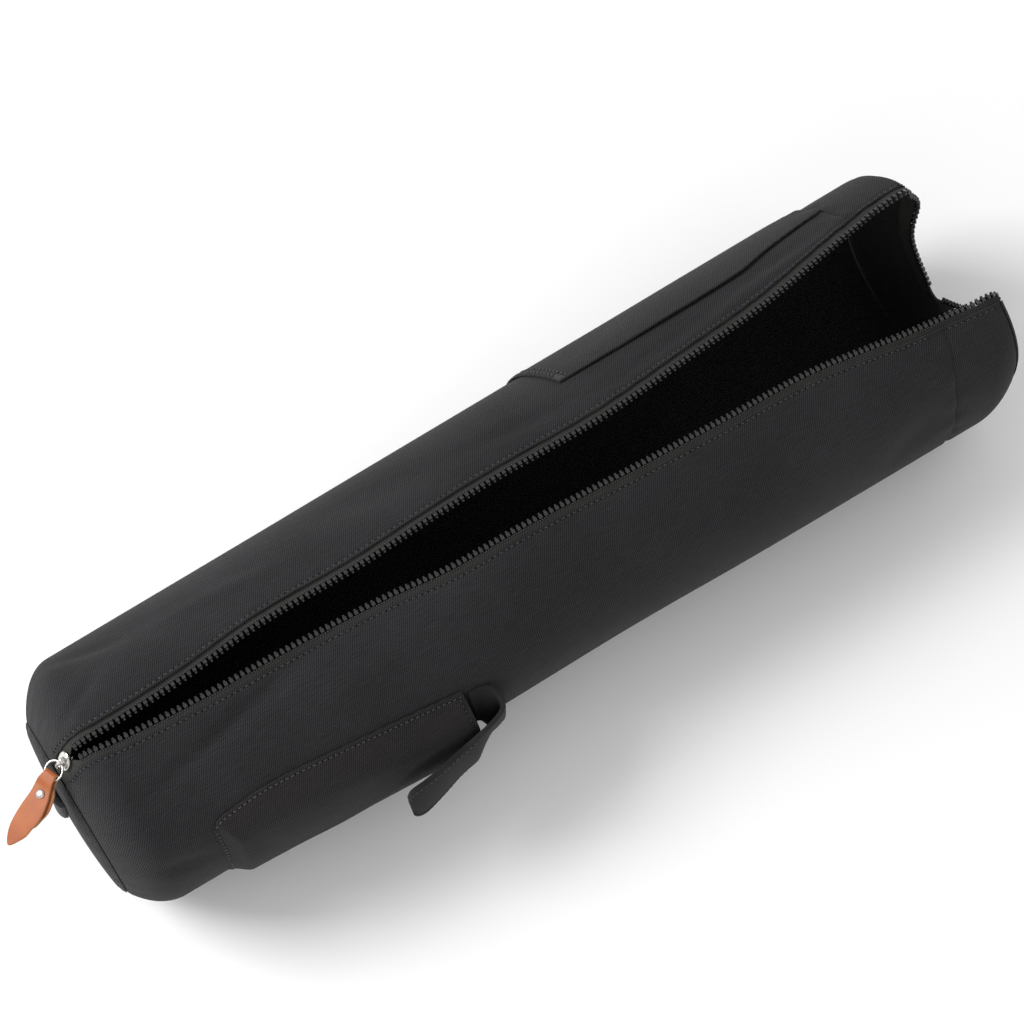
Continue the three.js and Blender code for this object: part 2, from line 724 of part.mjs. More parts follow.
function addLeatherPull() {
  const ring = ringFrame();
  const left = reader(leafOutline, 'left');
  const right = reader(leafOutline, 'right');
  const middleRadius = ringWire + foldRoom + leatherThickness / 2;
  const rows = foldedStripRows(middleRadius, ring.wireReach);
  const place = (down, height, across) => ring.fold.clone()
    .addScaledVector(ring.pull, down)
    .addScaledVector(ring.face, height)
    .addScaledVector(ring.along, across);
  const sideways = Math.sign(ring.along.y);
  const grid = (offset) => rows.map((row, i) => {
    const before = rows[Math.max(0, i - 1)];
    const after = rows[Math.min(rows.length - 1, i + 1)];
    const run = new THREE.Vector2(after.down - before.down, after.height - before.height).normalize();
    const down = row.down - run.y * offset;
    const height = row.height + run.x * offset;
    const edges = [-right(row.at), -right(row.at) / 2, left(row.at) / 2, left(row.at)];
    return edges.map((edge) => place(down, height, (edge * pullWidth - row.shift) * sideways));
  });
  const strip = sheetBetween(grid(leatherThickness / 2), grid(-leatherThickness / 2));
  const stack = 2 * leatherThickness + leafGap;
  const upright = new THREE.Quaternion().setFromUnitVectors(new THREE.Vector3(0, 1, 0), ring.face);
  const rivetPlace = place(rivetSetback, 0, -rivetSide * sideways);
  const drum = (radius, height, offset) => new THREE.CylinderGeometry(radius, radius, height, 14)
    .translate(0, offset, 0)
    .applyQuaternion(upright)
    .translate(rivetPlace.x, rivetPlace.y, rivetPlace.z);
  const hole = toSolid(drum(rivetShank + sewnGap, stack * 2, 0));
  addPiece('leather_pull', fromSolid(toSolid(strip).subtract(hole)), leather);
  const headOffset = stack / 2 + sewnGap + rivetHead / 2;
  const rivet = toSolid(drum(rivetShank, stack + 2 * sewnGap + rivetHead, 0))
    .add(toSolid(drum(rivetRadius, rivetHead, headOffset)))
    .add(toSolid(drum(rivetRadius, rivetHead, -headOffset)));
  addPiece('pull_rivet', fromSolid(rivet), nickel);
}

/** The gusseted pocket: open at its end towards the zip's open side, closed on its other edges. */
function addSidePocket() {
  const upper = reader(pocketUpperEdge, 'angle');
  const riseAlong = straightReader(pocketRiseAlong, 'rise');
  const riseAcross = straightReader(pocketRiseAcross, 'rise');
  const start = closedSeam + pocketStart;
  const grid = (thickness) => placesOf(pocketRiseAlong, pocketRows).map((along) => {
    const x = start + THREE.MathUtils.lerp(thickness, pocketLength, along);
    const inset = degreesAround(x, thickness);
    const depth = THREE.MathUtils.lerp(pocketDepthClosed, pocketDepthMouth, along);
    return placesOf(pocketRiseAcross, pocketColumns).map((across) => {
      const angle = THREE.MathUtils.lerp(upper(along) + inset, pocketLowAngle - inset, across);
      const rise = depth * Math.min(riseAlong(along), riseAcross(across)) - thickness;
      return surface(x, angle, -Math.max(0, rise) - sewnGap);
    });
  });
  addPiece('side_pocket', sheetBetween(grid(0), grid(pocketWall)), canvas);
}

/** The tongue beside the pocket's mouth, arched outwards and folded back over the pocket. */
function addPocketFlap() {
  const mouth = closedSeam + pocketStart + pocketLength;
  const path = flapPath.map((row) => ({
    x: mouth + row.run * pocketLength,
    off: sewnGap + flapThickness / 2 + row.off * pocketDepthMouth,
    width: row.width * flapWidth,
    angle: row.angle,
  }));
  const grid = (side) => path.map((row, i) => {
    const before = path[Math.max(0, i - 1)];
    const after = path[Math.min(path.length - 1, i + 1)];
    const run = new THREE.Vector2(after.x - before.x, after.off - before.off).normalize();
    const x = row.x - (run.y * side * flapThickness) / 2;
    const off = row.off + (run.x * side * flapThickness) / 2;
    const halfTurn = row.width / 2 / (section(x).half + off) / DEGREE;
    return [-1, -0.5, 0, 0.5, 1].map((step) => surface(x, row.angle + step * halfTurn, -off));
  });
  addPiece('pocket_flap', sheetBetween(grid(1), grid(-1)), canvas);
}

/** The flat pocket on the far side: open along its upper edge, caught in the band's seam. */
function addPatchPocket() {
  const rows = 13;
  const columns = 13;
  const mouth = straightReader(patchMouth, 'angle');
  const grid = (thickness) => Array.from({ length: rows }, (_, i) => {
    const share = i / (rows - 1);
    return Array.from({ length: columns }, (_, j) => {
      const column = j / (columns - 1);
      const angle = -THREE.MathUtils.lerp(mouth(share), patchLowAngle, column);
      const end = bandSeamAt(angle) - sewnGap;
      const x = end - patchLength * (1 - share);
      const gape = patchGape * Math.sin(Math.PI * share) * Math.max(0, 1 - column / gapeReach);
      return surface(x, angle, -sewnGap - gape - thickness);
    });
  });
  addPiece('patch_pocket', sheetBetween(grid(patchWall), grid(0)), canvas);
}

/** The webbing loop: an arch seen from above, its two feet sewn on the closed end. */
function addEndLoop() {
  const steps = 10;
  const heights = [-loopWebbing / 2, 0, loopWebbing / 2];
  const grid = (thickness) => Array.from({ length: steps + 1 }, (_, i) => {
    const turn = (Math.PI * i) / steps;
    const y = -loopSide + (loopSpan / 2 - thickness) * Math.cos(turn);
    return heights.map((height) => {
      const z = loopHeight + height;
      const x = closedEndAt(y, z) - sewnGap - (loopStand - thickness) * Math.sin(turn);
      return new THREE.Vector3(x, y, z);
    });
  });
  addPiece('end_loop', sheetBetween(grid(0), grid(loopWall)), canvas);
}

addCanvasWalls();
addClosedEnd();
addOpenEnd();
addZip();
addSlider();
addRing();
addLeatherPull();
addSidePocket();
addPocketFlap();
addPatchPocket();
addEndLoop();

export default bag;
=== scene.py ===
# %% [markdown]
# # A long canvas bag with an open zip
# This lesson dresses a long round canvas bag with an open zip. The solid model of the bag is
# loaded first and never changed. Each visible piece is then rebuilt as a finer mesh in the same
# place, with a material made of nodes. All sizes below are in millimetres, and one factor turns
# them into Blender's metres when a mesh is made.

# %% Load the frame
import math

import bmesh
import bpy
import numpy as np
from mathutils import Matrix, Vector


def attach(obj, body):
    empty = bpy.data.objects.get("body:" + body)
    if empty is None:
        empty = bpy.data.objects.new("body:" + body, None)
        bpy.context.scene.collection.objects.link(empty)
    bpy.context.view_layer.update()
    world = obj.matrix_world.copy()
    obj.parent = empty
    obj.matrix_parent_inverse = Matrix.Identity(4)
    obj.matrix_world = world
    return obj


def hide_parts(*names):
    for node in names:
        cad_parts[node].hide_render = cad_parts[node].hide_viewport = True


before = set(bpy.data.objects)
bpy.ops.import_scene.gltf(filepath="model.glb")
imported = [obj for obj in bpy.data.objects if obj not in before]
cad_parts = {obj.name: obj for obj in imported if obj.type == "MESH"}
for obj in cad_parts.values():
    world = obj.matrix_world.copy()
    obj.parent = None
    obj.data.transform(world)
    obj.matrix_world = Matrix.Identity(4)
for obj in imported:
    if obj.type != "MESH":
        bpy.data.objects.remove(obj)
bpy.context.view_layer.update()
MM = 0.001

# %% [markdown]
# ## Camera, floor and light
# The camera comes first, so that every later look at the work is the same one. It stands high over
# the near side of the closed end and looks down the bag with a long lens. The floor is plain and
# pale. Large area lights act as softboxes: dark cloth needs broad light to show its folds. The
# plain view transform keeps the white of the floor white and the leather's colour full. The key
# light stands beyond the closed end, so that the bag gets darker towards its open end.

# %% Camera
camera_place = Vector((-341, -522, 1671)) * MM
camera_target = Vector((2, 14, 95)) * MM
focal_length = 91.3

camera_data = bpy.data.cameras.new("camera")
camera_data.lens = focal_length
camera_data.sensor_width = 36
camera = bpy.data.objects.new("camera", camera_data)
camera.location = camera_place
camera.rotation_mode = "QUATERNION"
camera.rotation_quaternion = (camera_target - camera_place).to_track_quat("-Z", "Y")
bpy.context.scene.collection.objects.link(camera)
bpy.context.scene.camera = camera
bpy.context.scene.view_settings.view_transform = "Standard"
print("camera distance in m:", round((camera_target - camera_place).length, 3))

# %% Floor
floor_size = 24


def plain_material(name, color, roughness):
    """A material of one colour, for what isn't part of the bag."""
    material = bpy.data.materials.new(name)
    material.use_nodes = True
    shader = material.node_tree.nodes["Principled BSDF"]
    shader.inputs["Base Color"].default_value = (*color, 1)
    shader.inputs["Roughness"].default_value = roughness
    return material


bpy.ops.mesh.primitive_plane_add(size=floor_size, location=(0, 0, -0.0004))
floor = bpy.context.object
floor.name = "floor"
floor.data.materials.append(plain_material("floor_white", (0.93, 0.93, 0.93), 0.8))
print("floor side in m:", floor_size)

# %% Lights
world = bpy.data.worlds.new("studio")
world.use_nodes = True
world.node_tree.nodes["Background"].inputs["Color"].default_value = (1, 1, 1, 1)
world.node_tree.nodes["Background"].inputs["Strength"].default_value = 0.66
bpy.context.scene.world = world


def softbox(name, place, aim, size, power):
    """A square area light that faces a point."""
    light = bpy.data.lights.new(name, "AREA")
    light.shape = "SQUARE"
    light.size = size
    light.energy = power
    lamp = bpy.data.objects.new(name, light)
    lamp.location = place
    lamp.rotation_mode = "QUATERNION"
    lamp.rotation_quaternion = (Vector(aim) - Vector(place)).to_track_quat("-Z", "Y")
    bpy.context.scene.collection.objects.link(lamp)


softbox("key_light", (-1.5, 1.1, 1.8), (-0.1, 0, 0.1), 1.1, 52)
softbox("fill_light", (-1.3, -1.7, 1.6), (0, 0, 0.1), 1.6, 7)
softbox("end_light", (2.0, 0.6, 1.8), (0.2, 0, 0.1), 1.2, 2)

# %% [markdown]
# ## The shape of the bag as a rule
# A filled-out bag is close to a tube, so one function gives every place on it. It takes how far
# along the bag a point lies, its angle from the top, and how deep it is under the outer face. All
# pieces that are sewn to the bag ask the same function, so they follow its dents for free.

# %% Named sizes of the bag
bag_length = 669
closed_width = 172
open_width = 188
bag_height = 174
widest_height = 86
rest_width = 55
canvas_wall = 2
sewn_gap = 0.3
closed_shoulder = 30.5
closed_reach = 45
closed_drop = 12
open_shoulder = 8
open_reach = 60
soft_shoulder = 22
soft_angle = 105
closed_dome = 5
dome_fullness = 2.4
open_dome = 7
band_width = 56
band_lean = 18
open_setback = 3
open_yaw = 14
far_flare = 12
flare_across = 42
flare_height = 134
flare_width = 20
flare_reach = 18
rim_radius = 84
tooth_row = 4
tape_shown = 4.2
tape_hidden = 6
tape_thickness = 1
split_depth = 98
split_fullness = 2.4
split_corner = 13
split_stop = 4
closed_seam = -bag_length / 2
open_seam = bag_length / 2
canvas_edge = tooth_row + tape_shown
print("seams in mm:", closed_seam, open_seam)

# %% Tables of the bag
# Edges of the zip's opening in degrees from the top, along the bag
opening_edges = [
    dict(at=0.000, far=-2.8, near=-1.8),
    dict(at=0.022, far=-1.2, near=0.6),
    dict(at=0.050, far=0.2, near=3.6),
    dict(at=0.140, far=-1.2, near=6.6),
    dict(at=0.220, far=-4.8, near=7.4),
    dict(at=0.330, far=-4.6, near=9.8),
    dict(at=0.400, far=-6.2, near=13.0),
    dict(at=0.480, far=-7.2, near=13.4),
    dict(at=0.600, far=-6.4, near=16.0),
    dict(at=0.700, far=-9.6, near=17.8),
    dict(at=0.800, far=-13.4, near=19.4),
    dict(at=0.900, far=-21.6, near=25.6),
    dict(at=0.955, far=-26.4, near=28.4),
    dict(at=1.000, far=-27.6, near=30.6),
]
# Dents, and then finer folds: place and half length as shares of the bag's length, angle and half
# width in degrees, slant in degrees over the length, depth as a share of the height
dents = [
    dict(at=0.16, angle=25, long=0.085, wide=8, slant=-90, depth=0.020),
    dict(at=0.07, angle=34, long=0.050, wide=14, slant=80, depth=0.012),
    dict(at=0.05, angle=-30, long=0.035, wide=12, slant=-120, depth=0.014),
    dict(at=0.12, angle=-42, long=0.050, wide=10, slant=150, depth=0.012),
    dict(at=0.38, angle=-34, long=0.060, wide=9, slant=90, depth=0.012),
    dict(at=0.72, angle=46, long=0.090, wide=16, slant=60, depth=0.012),
    dict(at=0.64, angle=-52, long=0.070, wide=12, slant=-60, depth=0.009),
    dict(at=0.52, angle=100, long=0.120, wide=14, slant=40, depth=0.012),
    dict(at=0.88, angle=74, long=0.040, wide=10, slant=-120, depth=0.014),
    dict(at=0.30, angle=-96, long=0.110, wide=16, slant=-50, depth=0.013),
    dict(at=0.78, angle=-102, long=0.100, wide=14, slant=60, depth=0.011),
]
folds = [
    dict(at=0.150, angle=24, long=0.085, wide=2.6, slant=-90, depth=0.012),
    dict(at=0.155, angle=30, long=0.080, wide=3.2, slant=-90, depth=-0.008),
    dict(at=0.040, angle=44, long=0.022, wide=3.2, slant=260, depth=0.011),
    dict(at=0.055, angle=70, long=0.030, wide=4.5, slant=150, depth=0.010),
    dict(at=0.050, angle=-20, long=0.028, wide=3.2, slant=-260, depth=0.011),
    dict(at=0.080, angle=-44, long=0.034, wide=3.6, slant=200, depth=0.011),
    dict(at=0.210, angle=-30, long=0.060, wide=3.6, slant=60, depth=-0.008),
    dict(at=0.280, angle=34, long=0.060, wide=4.6, slant=-40, depth=-0.007),
    dict(at=0.800, angle=-24, long=0.060, wide=3.0, slant=-70, depth=-0.012),
    dict(at=0.850, angle=-31, long=0.050, wide=2.8, slant=-60, depth=0.009),
    dict(at=0.700, angle=-22, long=0.060, wide=3.0, slant=-40, depth=0.009),
    dict(at=0.540, angle=-24, long=0.060, wide=3.4, slant=50, depth=0.009),
    dict(at=0.460, angle=28, long=0.080, wide=4.4, slant=30, depth=-0.006),
    dict(at=0.900, angle=48, long=0.030, wide=4.5, slant=150, depth=0.005),
    dict(at=0.620, angle=52, long=0.070, wide=5.0, slant=-30, depth=0.007),
]
print("dents and folds:", len(dents), len(folds))


# %% Reading a table smoothly
def reader(table, column, key="at"):
    """A function that reads one column at any share, smoothly between the rows."""
    at = np.array([row[key] for row in table], float)
    value = np.array([row[column] for row in table], float)
    slope = np.empty_like(value)
    slope[1:-1] = (value[2:] - value[:-2]) / (at[2:] - at[:-2])
    slope[0] = 1.5 * (value[1] - value[0]) / (at[1] - at[0]) - 0.5 * slope[1]
    slope[-1] = 1.5 * (value[-1] - value[-2]) / (at[-1] - at[-2]) - 0.5 * slope[-2]

    def read(share):
        share = np.clip(share, at[0], at[-1])
        row = np.clip(np.searchsorted(at, share, side="right") - 1, 0, len(at) - 2)
        step = at[row + 1] - at[row]
        t = (share - at[row]) / step
        return (
            (2 * t**3 - 3 * t**2 + 1) * value[row]
            + (t**3 - 2 * t**2 + t) * step * slope[row]
            + (3 * t**2 - 2 * t**3) * value[row + 1]
            + (t**3 - t**2) * step * slope[row + 1]
        )

    return read


far_edge = reader(opening_edges, "far")
near_edge = reader(opening_edges, "near")
print("opening at the open end in degrees:", float(far_edge(1.0)), float(near_edge(1.0)))


# %% Sections of the bag
def blend(low, high, share):
    """A value between two others."""
    return low + (high - low) * share


def smooth(low, high, value):
    """0 at low, 1 at high, and a soft step between them."""
    t = np.clip((value - low) / (high - low), 0, 1)
    return t * t * (3 - 2 * t)


def share_at(x):
    """How far along the bag x lies, from 0 to 1."""
    return np.clip((x - closed_seam) / bag_length, 0, 1)


def end_plane_at(side):
    """Where the open end's plane lies, from side 1, near, to side -1, far."""
    return open_seam - open_setback + open_yaw * side / 2


def flare_at(y, z):
    """How far the open end's far corner flares out at a place across it."""
    aside = ((y - flare_across) / flare_width) ** 2
    above = ((z - flare_height) / flare_reach) ** 2
    return far_flare * np.exp(-aside - above)


def rim_at(angle):
    """Where the open end's rim lies at an angle."""
    side, up = np.sin(np.radians(angle)), np.cos(np.radians(angle))
    flare = flare_at(-rim_radius * side, widest_height + rim_radius * up)
    return end_plane_at(side) + flare


def band_seam_at(angle):
    """Where the seam of the end band lies: it leans to the rim at the top."""
    side, up = np.sin(np.radians(angle)), np.cos(np.radians(angle))
    return end_plane_at(side) - band_width + band_lean * np.maximum(0, up) ** 2


def section(x, angle=90.0):
    """The radii and the middle of the bag's section at x, as an angle sees the rim."""
    width = blend(closed_width, open_width, share_at(x)) / 2
    closed = np.maximum(0, closed_seam + closed_shoulder - x)
    facing = np.maximum(0, np.cos(np.radians(angle - soft_angle)))
    opened = np.maximum(0, x - rim_at(angle) + open_shoulder + soft_shoulder * facing**2)
    shrink = np.sqrt(1 - (closed / closed_reach) ** 2) * np.sqrt(1 - (opened / open_reach) ** 2)
    floor_angle = np.arcsin(rest_width / 2 / width)
    return dict(
        half=width * shrink,
        rise=(bag_height - widest_height) * shrink,
        fall=widest_height / np.cos(floor_angle) * shrink,
        middle=widest_height - closed_drop * (closed / closed_shoulder) ** 2,
        floor_angle=floor_angle,
    )


print("half width at the middle in mm:", round(float(section(0.0)["half"]), 1))


# %% The surface of the bag
pucker_depth = 1.1
pucker_reach = 10.0
pucker_count = 31
ripple_depth = 0.4
ripple_reach = 9.0
ripple_length = 17.0


def relief(x, angle):
    """How deep the dents, the folds, the puckers at seams and the ripples by the zip go."""
    share = share_at(x)
    depth = np.zeros(np.broadcast(x, angle).shape)
    for dent in dents + folds:
        along = (share - dent["at"]) / dent["long"]
        centre = dent["angle"] + dent["slant"] * (share - dent["at"])
        turn = (angle - centre + 180) % 360 - 180
        depth = depth + dent["depth"] * bag_height * np.exp(-(along**2) - (turn / dent["wide"]) ** 2)
    wave = 0.5 + 0.5 * np.sin(np.radians(angle) * pucker_count + 2 * np.sin(np.radians(angle) * 3))
    for seam in (closed_seam, band_seam_at(angle)):
        depth = depth + pucker_depth * wave * np.exp(-(((x - seam) / pucker_reach) ** 2))
    upper = (angle + 180) % 360 - 180
    past_near = np.radians(upper - near_edge(share)) * closed_width / 2 - canvas_edge
    past_far = np.radians(far_edge(share) - upper) * closed_width / 2 - canvas_edge
    ripple = np.sin(x * 2 * math.pi / ripple_length + 2.2 * np.sin(x * 0.043))
    beside_near = np.exp(-(((past_near - 5) / ripple_reach) ** 2))
    beside_far = np.exp(-(((past_far - 5) / ripple_reach) ** 2))
    return depth + ripple_depth * (0.5 + 0.5 * ripple) * (beside_near + beside_far)


def surface(x, angle, depth):
    """Points at x and at an angle from the top, some depth under the outer face, in mm."""
    x, angle, depth = np.broadcast_arrays(np.asarray(x, float), angle, depth)
    shape = section(x, angle)
    inset = depth + relief(x, angle)
    side, up = np.sin(np.radians(angle)), np.cos(np.radians(angle))
    floor_height = shape["middle"] - shape["fall"] * np.cos(shape["floor_angle"]) + depth
    upper = shape["middle"] + (shape["rise"] - inset) * up
    lower = np.maximum(floor_height, shape["middle"] + (shape["fall"] - inset) * up)
    return np.stack([x, -(shape["half"] - inset) * side, np.where(up >= 0, upper, lower)], -1)


def rim_point(angle, depth):
    """Points on the open end's rim."""
    return surface(rim_at(angle), angle, depth)


def around(x, length):
    """Millimetres round the bag's upper side as degrees."""
    return np.degrees(length / section(x, 0.0)["half"])


print("top of the bag in mm:", np.round(surface(0.0, 40.0, 0.0), 1))

# %% [markdown]
# ## Meshes from grids
# A wall of cloth is two grids of points, its outer and its inner face, closed round their border.
# A small bevel then rounds the cut edges, because a hard corner never catches light as cloth does.
# The UV map is the cloth laid flat, in metres, so that the weave keeps one scale on every piece.

# %% Helpers for meshes
edge_round = 0.8


def add_object(name, mesh):
    """Puts a mesh into the scene."""
    piece = bpy.data.objects.new(name, mesh)
    bpy.context.scene.collection.objects.link(piece)
    return piece


def plain_mesh(piece):
    """Turns a piece with modifiers into a plain mesh in the same place."""
    evaluated = piece.evaluated_get(bpy.context.evaluated_depsgraph_get())
    mesh = bpy.data.meshes.new_from_object(evaluated)
    piece.modifiers.clear()
    piece.data = mesh
    return piece


def shade(piece, sharp_degrees=50):
    """Smooth shading, apart from edges that turn sharply."""
    piece.data.polygons.foreach_set("use_smooth", [True] * len(piece.data.polygons))
    piece.data.set_sharp_from_angle(angle=math.radians(sharp_degrees))
    return piece


def mesh_piece(name, points, faces, uv=None):
    """A mesh from points in mm and faces, turned so that its faces point out."""
    corners = points[np.array([face[:3] for face in faces])]
    volume = np.einsum("ij,ij->i", corners[:, 0], np.cross(corners[:, 1], corners[:, 2])).sum()
    if volume < 0:
        faces = [face[::-1] for face in faces]
    mesh = bpy.data.meshes.new(name)
    mesh.from_pydata((points * MM).tolist(), [], faces)
    if uv is not None:
        layer = mesh.uv_layers.new(name="cloth")
        loops = np.empty(len(mesh.loops), np.int32)
        mesh.loops.foreach_get("vertex_index", loops)
        layer.data.foreach_set("uv", (uv[loops] * MM).ravel())
    mesh.update()
    return add_object(name, mesh)


def cloth(name, outer, inner, uv, rounding=edge_round, disc=False):
    """A closed wall between two grids of points, with its border rounded.

    A disc's rows are rings, and its first ring is closed by a fan of triangles.
    """
    rows, columns = outer.shape[:2]
    at = np.arange(rows * columns).reshape(rows, columns)
    other = at + rows * columns
    points = [outer.reshape(-1, 3), inner.reshape(-1, 3)]
    flat = [uv.reshape(-1, 2), uv.reshape(-1, 2)]
    if disc:
        at, other = (np.concatenate([grid, grid[:, :1]], 1) for grid in (at, other))
    quads = [
        np.stack([at[:-1, :-1], at[:-1, 1:], at[1:, 1:], at[1:, :-1]], -1).reshape(-1, 4),
        np.stack([other[:-1, :-1], other[1:, :-1], other[1:, 1:], other[:-1, 1:]], -1).reshape(-1, 4),
        np.stack([at[-1, :-1], at[-1, 1:], other[-1, 1:], other[-1, :-1]], -1),
    ]
    fans = []
    if disc:
        middle = 2 * rows * columns
        points += [outer[0].mean(0, keepdims=True), inner[0].mean(0, keepdims=True)]
        flat += [uv[0].mean(0, keepdims=True)] * 2
        fans += [(middle, b, a) for a, b in zip(at[0, :-1].tolist(), at[0, 1:].tolist())]
        fans += [(middle + 1, a, b) for a, b in zip(other[0, :-1].tolist(), other[0, 1:].tolist())]
    else:
        quads.append(np.stack([at[0, 1:], at[0, :-1], other[0, :-1], other[0, 1:]], -1))
        quads.append(np.stack([at[:-1, 0], at[1:, 0], other[1:, 0], other[:-1, 0]], -1))
        quads.append(np.stack([at[1:, -1], at[:-1, -1], other[:-1, -1], other[1:, -1]], -1))
    faces = np.concatenate(quads).tolist() + fans
    piece = mesh_piece(name, np.concatenate(points), faces, np.concatenate(flat))
    if rounding:
        bevel = piece.modifiers.new("rounded_edge", "BEVEL")
        bevel.limit_method = "ANGLE"
        bevel.angle_limit = math.radians(62)
        bevel.width = rounding * MM
        bevel.segments = 2
        plain_mesh(piece)
    return shade(piece)


def finish_piece(piece, material, slot, *nodes):
    """Gives a piece its material, its body and the nodes that it stands for; the slot is not used."""
    piece.data.materials.clear()
    piece.data.materials.append(material)
    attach(piece, "root")
    if nodes:
        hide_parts(*nodes)
    triangles = sum(len(face.vertices) - 2 for face in piece.data.polygons)
    print(f"{piece.name}: {triangles} triangles")
    return piece


print("edge rounding in mm:", edge_round)

# %% [markdown]
# ## Materials
# Cotton canvas is a dark cloth whose threads show as fine slanting lines. Its colour is never even:
# soft clouds of noise shift it paler and darker in patches. The weave is made of waves over the flat
# cloth map, and goes both to the colour, so that it reads from far away, and to a bump, so that it
# catches light. Soft noise breaks up what would look printed.


# %% Small helpers for node trees
class Tree:
    """A node tree that is written one node at a time."""

    def __init__(self, name):
        self.material = bpy.data.materials.new(name)
        self.material.use_nodes = True
        self.nodes = self.material.node_tree.nodes
        self.links = self.material.node_tree.links
        self.shader = self.nodes["Principled BSDF"]

    def plug(self, socket, value):
        """Links a socket, or sets it to a plain value."""
        if isinstance(value, bpy.types.NodeSocket):
            self.links.new(value, socket)
        else:
            socket.default_value = value

    def node(self, kind, output=0, inputs=None, **settings):
        """Adds a node and gives back one of its outputs."""
        made = self.nodes.new(kind)
        for name, value in settings.items():
            setattr(made, name, value)
        for key, value in (inputs or {}).items():
            self.plug(made.inputs[key], value)
        return made.outputs[output]

    def math(self, operation, first, second=0.0):
        """One step of arithmetic."""
        return self.node("ShaderNodeMath", inputs={0: first, 1: second}, operation=operation)

    def wave(self, place, pitch):
        """A wave between 0 and 1 along a place in metres."""
        turned = self.math("SINE", self.math("MULTIPLY", place, 2 * math.pi / (pitch * MM)))
        return self.math("ADD", self.math("MULTIPLY", turned, 0.5), 0.5)

    def noise(self, vector, scale, detail=3.0, roughness=0.5):
        """Soft noise between 0 and 1."""
        return self.node("ShaderNodeTexNoise", inputs={
            "Vector": vector, "Scale": scale, "Detail": detail, "Roughness": roughness})

    def ramp(self, value, low, high, to_low=0.0, to_high=1.0):
        """Maps a range to another one, and stays inside it."""
        return self.node("ShaderNodeMapRange", inputs={
            "Value": value, "From Min": low, "From Max": high, "To Min": to_low, "To Max": to_high})

    def mix(self, share, first, second):
        """A colour between two others."""
        made = self.nodes.new("ShaderNodeMix")
        made.data_type = "RGBA"
        self.plug(made.inputs[0], share)
        for socket, value in ((made.inputs[6], first), (made.inputs[7], second)):
            self.plug(socket, (*value, 1) if isinstance(value, tuple) else value)
        return made.outputs[2]

    def bump(self, height, distance, strength=1.0, normal=None):
        """A bump of a height in mm."""
        made = self.nodes.new("ShaderNodeBump")
        self.plug(made.inputs["Height"], height)
        made.inputs["Distance"].default_value = distance * MM
        made.inputs["Strength"].default_value = strength
        if normal is not None:
            self.links.new(normal, made.inputs["Normal"])
        return made.outputs["Normal"]

    def set(self, **values):
        """Sets the shader's own sockets."""
        names = dict(color="Base Color", rough="Roughness", metal="Metallic", normal="Normal",
                     sheen="Sheen Weight", sheen_rough="Sheen Roughness", coat="Coat Weight",
                     coat_rough="Coat Roughness", specular="Specular IOR Level")
        for key, value in values.items():
            value = (*value, 1) if isinstance(value, tuple) else value
            self.plug(self.shader.inputs[names[key]], value)
        return self.material


print("helpers of a tree:", [name for name in vars(Tree) if not name.startswith("_")])


# %% Woven cloth
def woven(name, dark, pale, twill_pitch, thread_pitch, bump_height, worn=0.35, roughness=0.95, sheen=0.06):
    """Cloth with slanting twill lines over crossing threads."""
    tree = Tree(name)
    flat = tree.node("ShaderNodeUVMap", uv_map="cloth")
    parts = tree.nodes.new("ShaderNodeSeparateXYZ")
    tree.links.new(flat, parts.inputs[0])
    along, across = parts.outputs[0], parts.outputs[1]
    place = tree.node("ShaderNodeTexCoord", output="Object")
    slack = tree.math("MULTIPLY", tree.math("SUBTRACT", tree.noise(place, 60.0), 0.5), 0.9 * MM)
    slant = tree.math("ADD", tree.math("MULTIPLY", along, 0.861), tree.math("MULTIPLY", across, 0.509))
    twill = tree.wave(tree.math("ADD", slant, slack), twill_pitch)
    warp = tree.wave(tree.math("ADD", along, slack), thread_pitch)
    weft = tree.wave(tree.math("ADD", across, slack), thread_pitch)
    threads = tree.math("MULTIPLY", warp, weft)
    weave = tree.math("ADD", tree.math("MULTIPLY", twill, 0.55), tree.math("MULTIPLY", threads, 0.6))
    slubs = tree.noise(tree.node("ShaderNodeMapping", inputs={"Vector": flat, "Scale": (90, 900, 1)}), 1.0)
    clouds = tree.noise(place, 9.0, 4.0)
    tone = tree.math("ADD", tree.math("MULTIPLY", weave, 0.62), tree.math("MULTIPLY", slubs, 0.3))
    tone = tree.math("ADD", tone, tree.math("MULTIPLY", tree.math("SUBTRACT", clouds, 0.5), worn))
    color = tree.mix(tree.ramp(tone, 0.18, 0.92), dark, pale)
    soft = tree.bump(tree.noise(place, 34.0, 4.0), 0.5, 0.5)
    normal = tree.bump(weave, bump_height, 0.85, soft)
    return tree.set(color=color, rough=roughness, sheen=sheen, sheen_rough=0.5, specular=0.16,
                    normal=normal)


canvas = woven("canvas_black", (0.0060, 0.0060, 0.0066), (0.052, 0.052, 0.056), 1.30, 1.30, 0.36)
pocket_cloth = woven("pocket_black", (0.0060, 0.0054, 0.0057), (0.047, 0.043, 0.045), 1.30, 1.30, 0.36)
lining = woven("strap_black", (0.009, 0.009, 0.0095), (0.026, 0.026, 0.027), 0.9, 0.9, 0.12, 0.2)
tape_cloth = woven("zip_tape_grey", (0.017, 0.017, 0.0155), (0.062, 0.061, 0.056), 1.5, 0.8, 0.12, 0.3)
webbing = woven("webbing_black", (0.006, 0.006, 0.007), (0.020, 0.020, 0.022), 1.6, 1.6, 0.2, 0.2, 0.5)
print("cloths:", canvas.name, lining.name, tape_cloth.name, webbing.name)


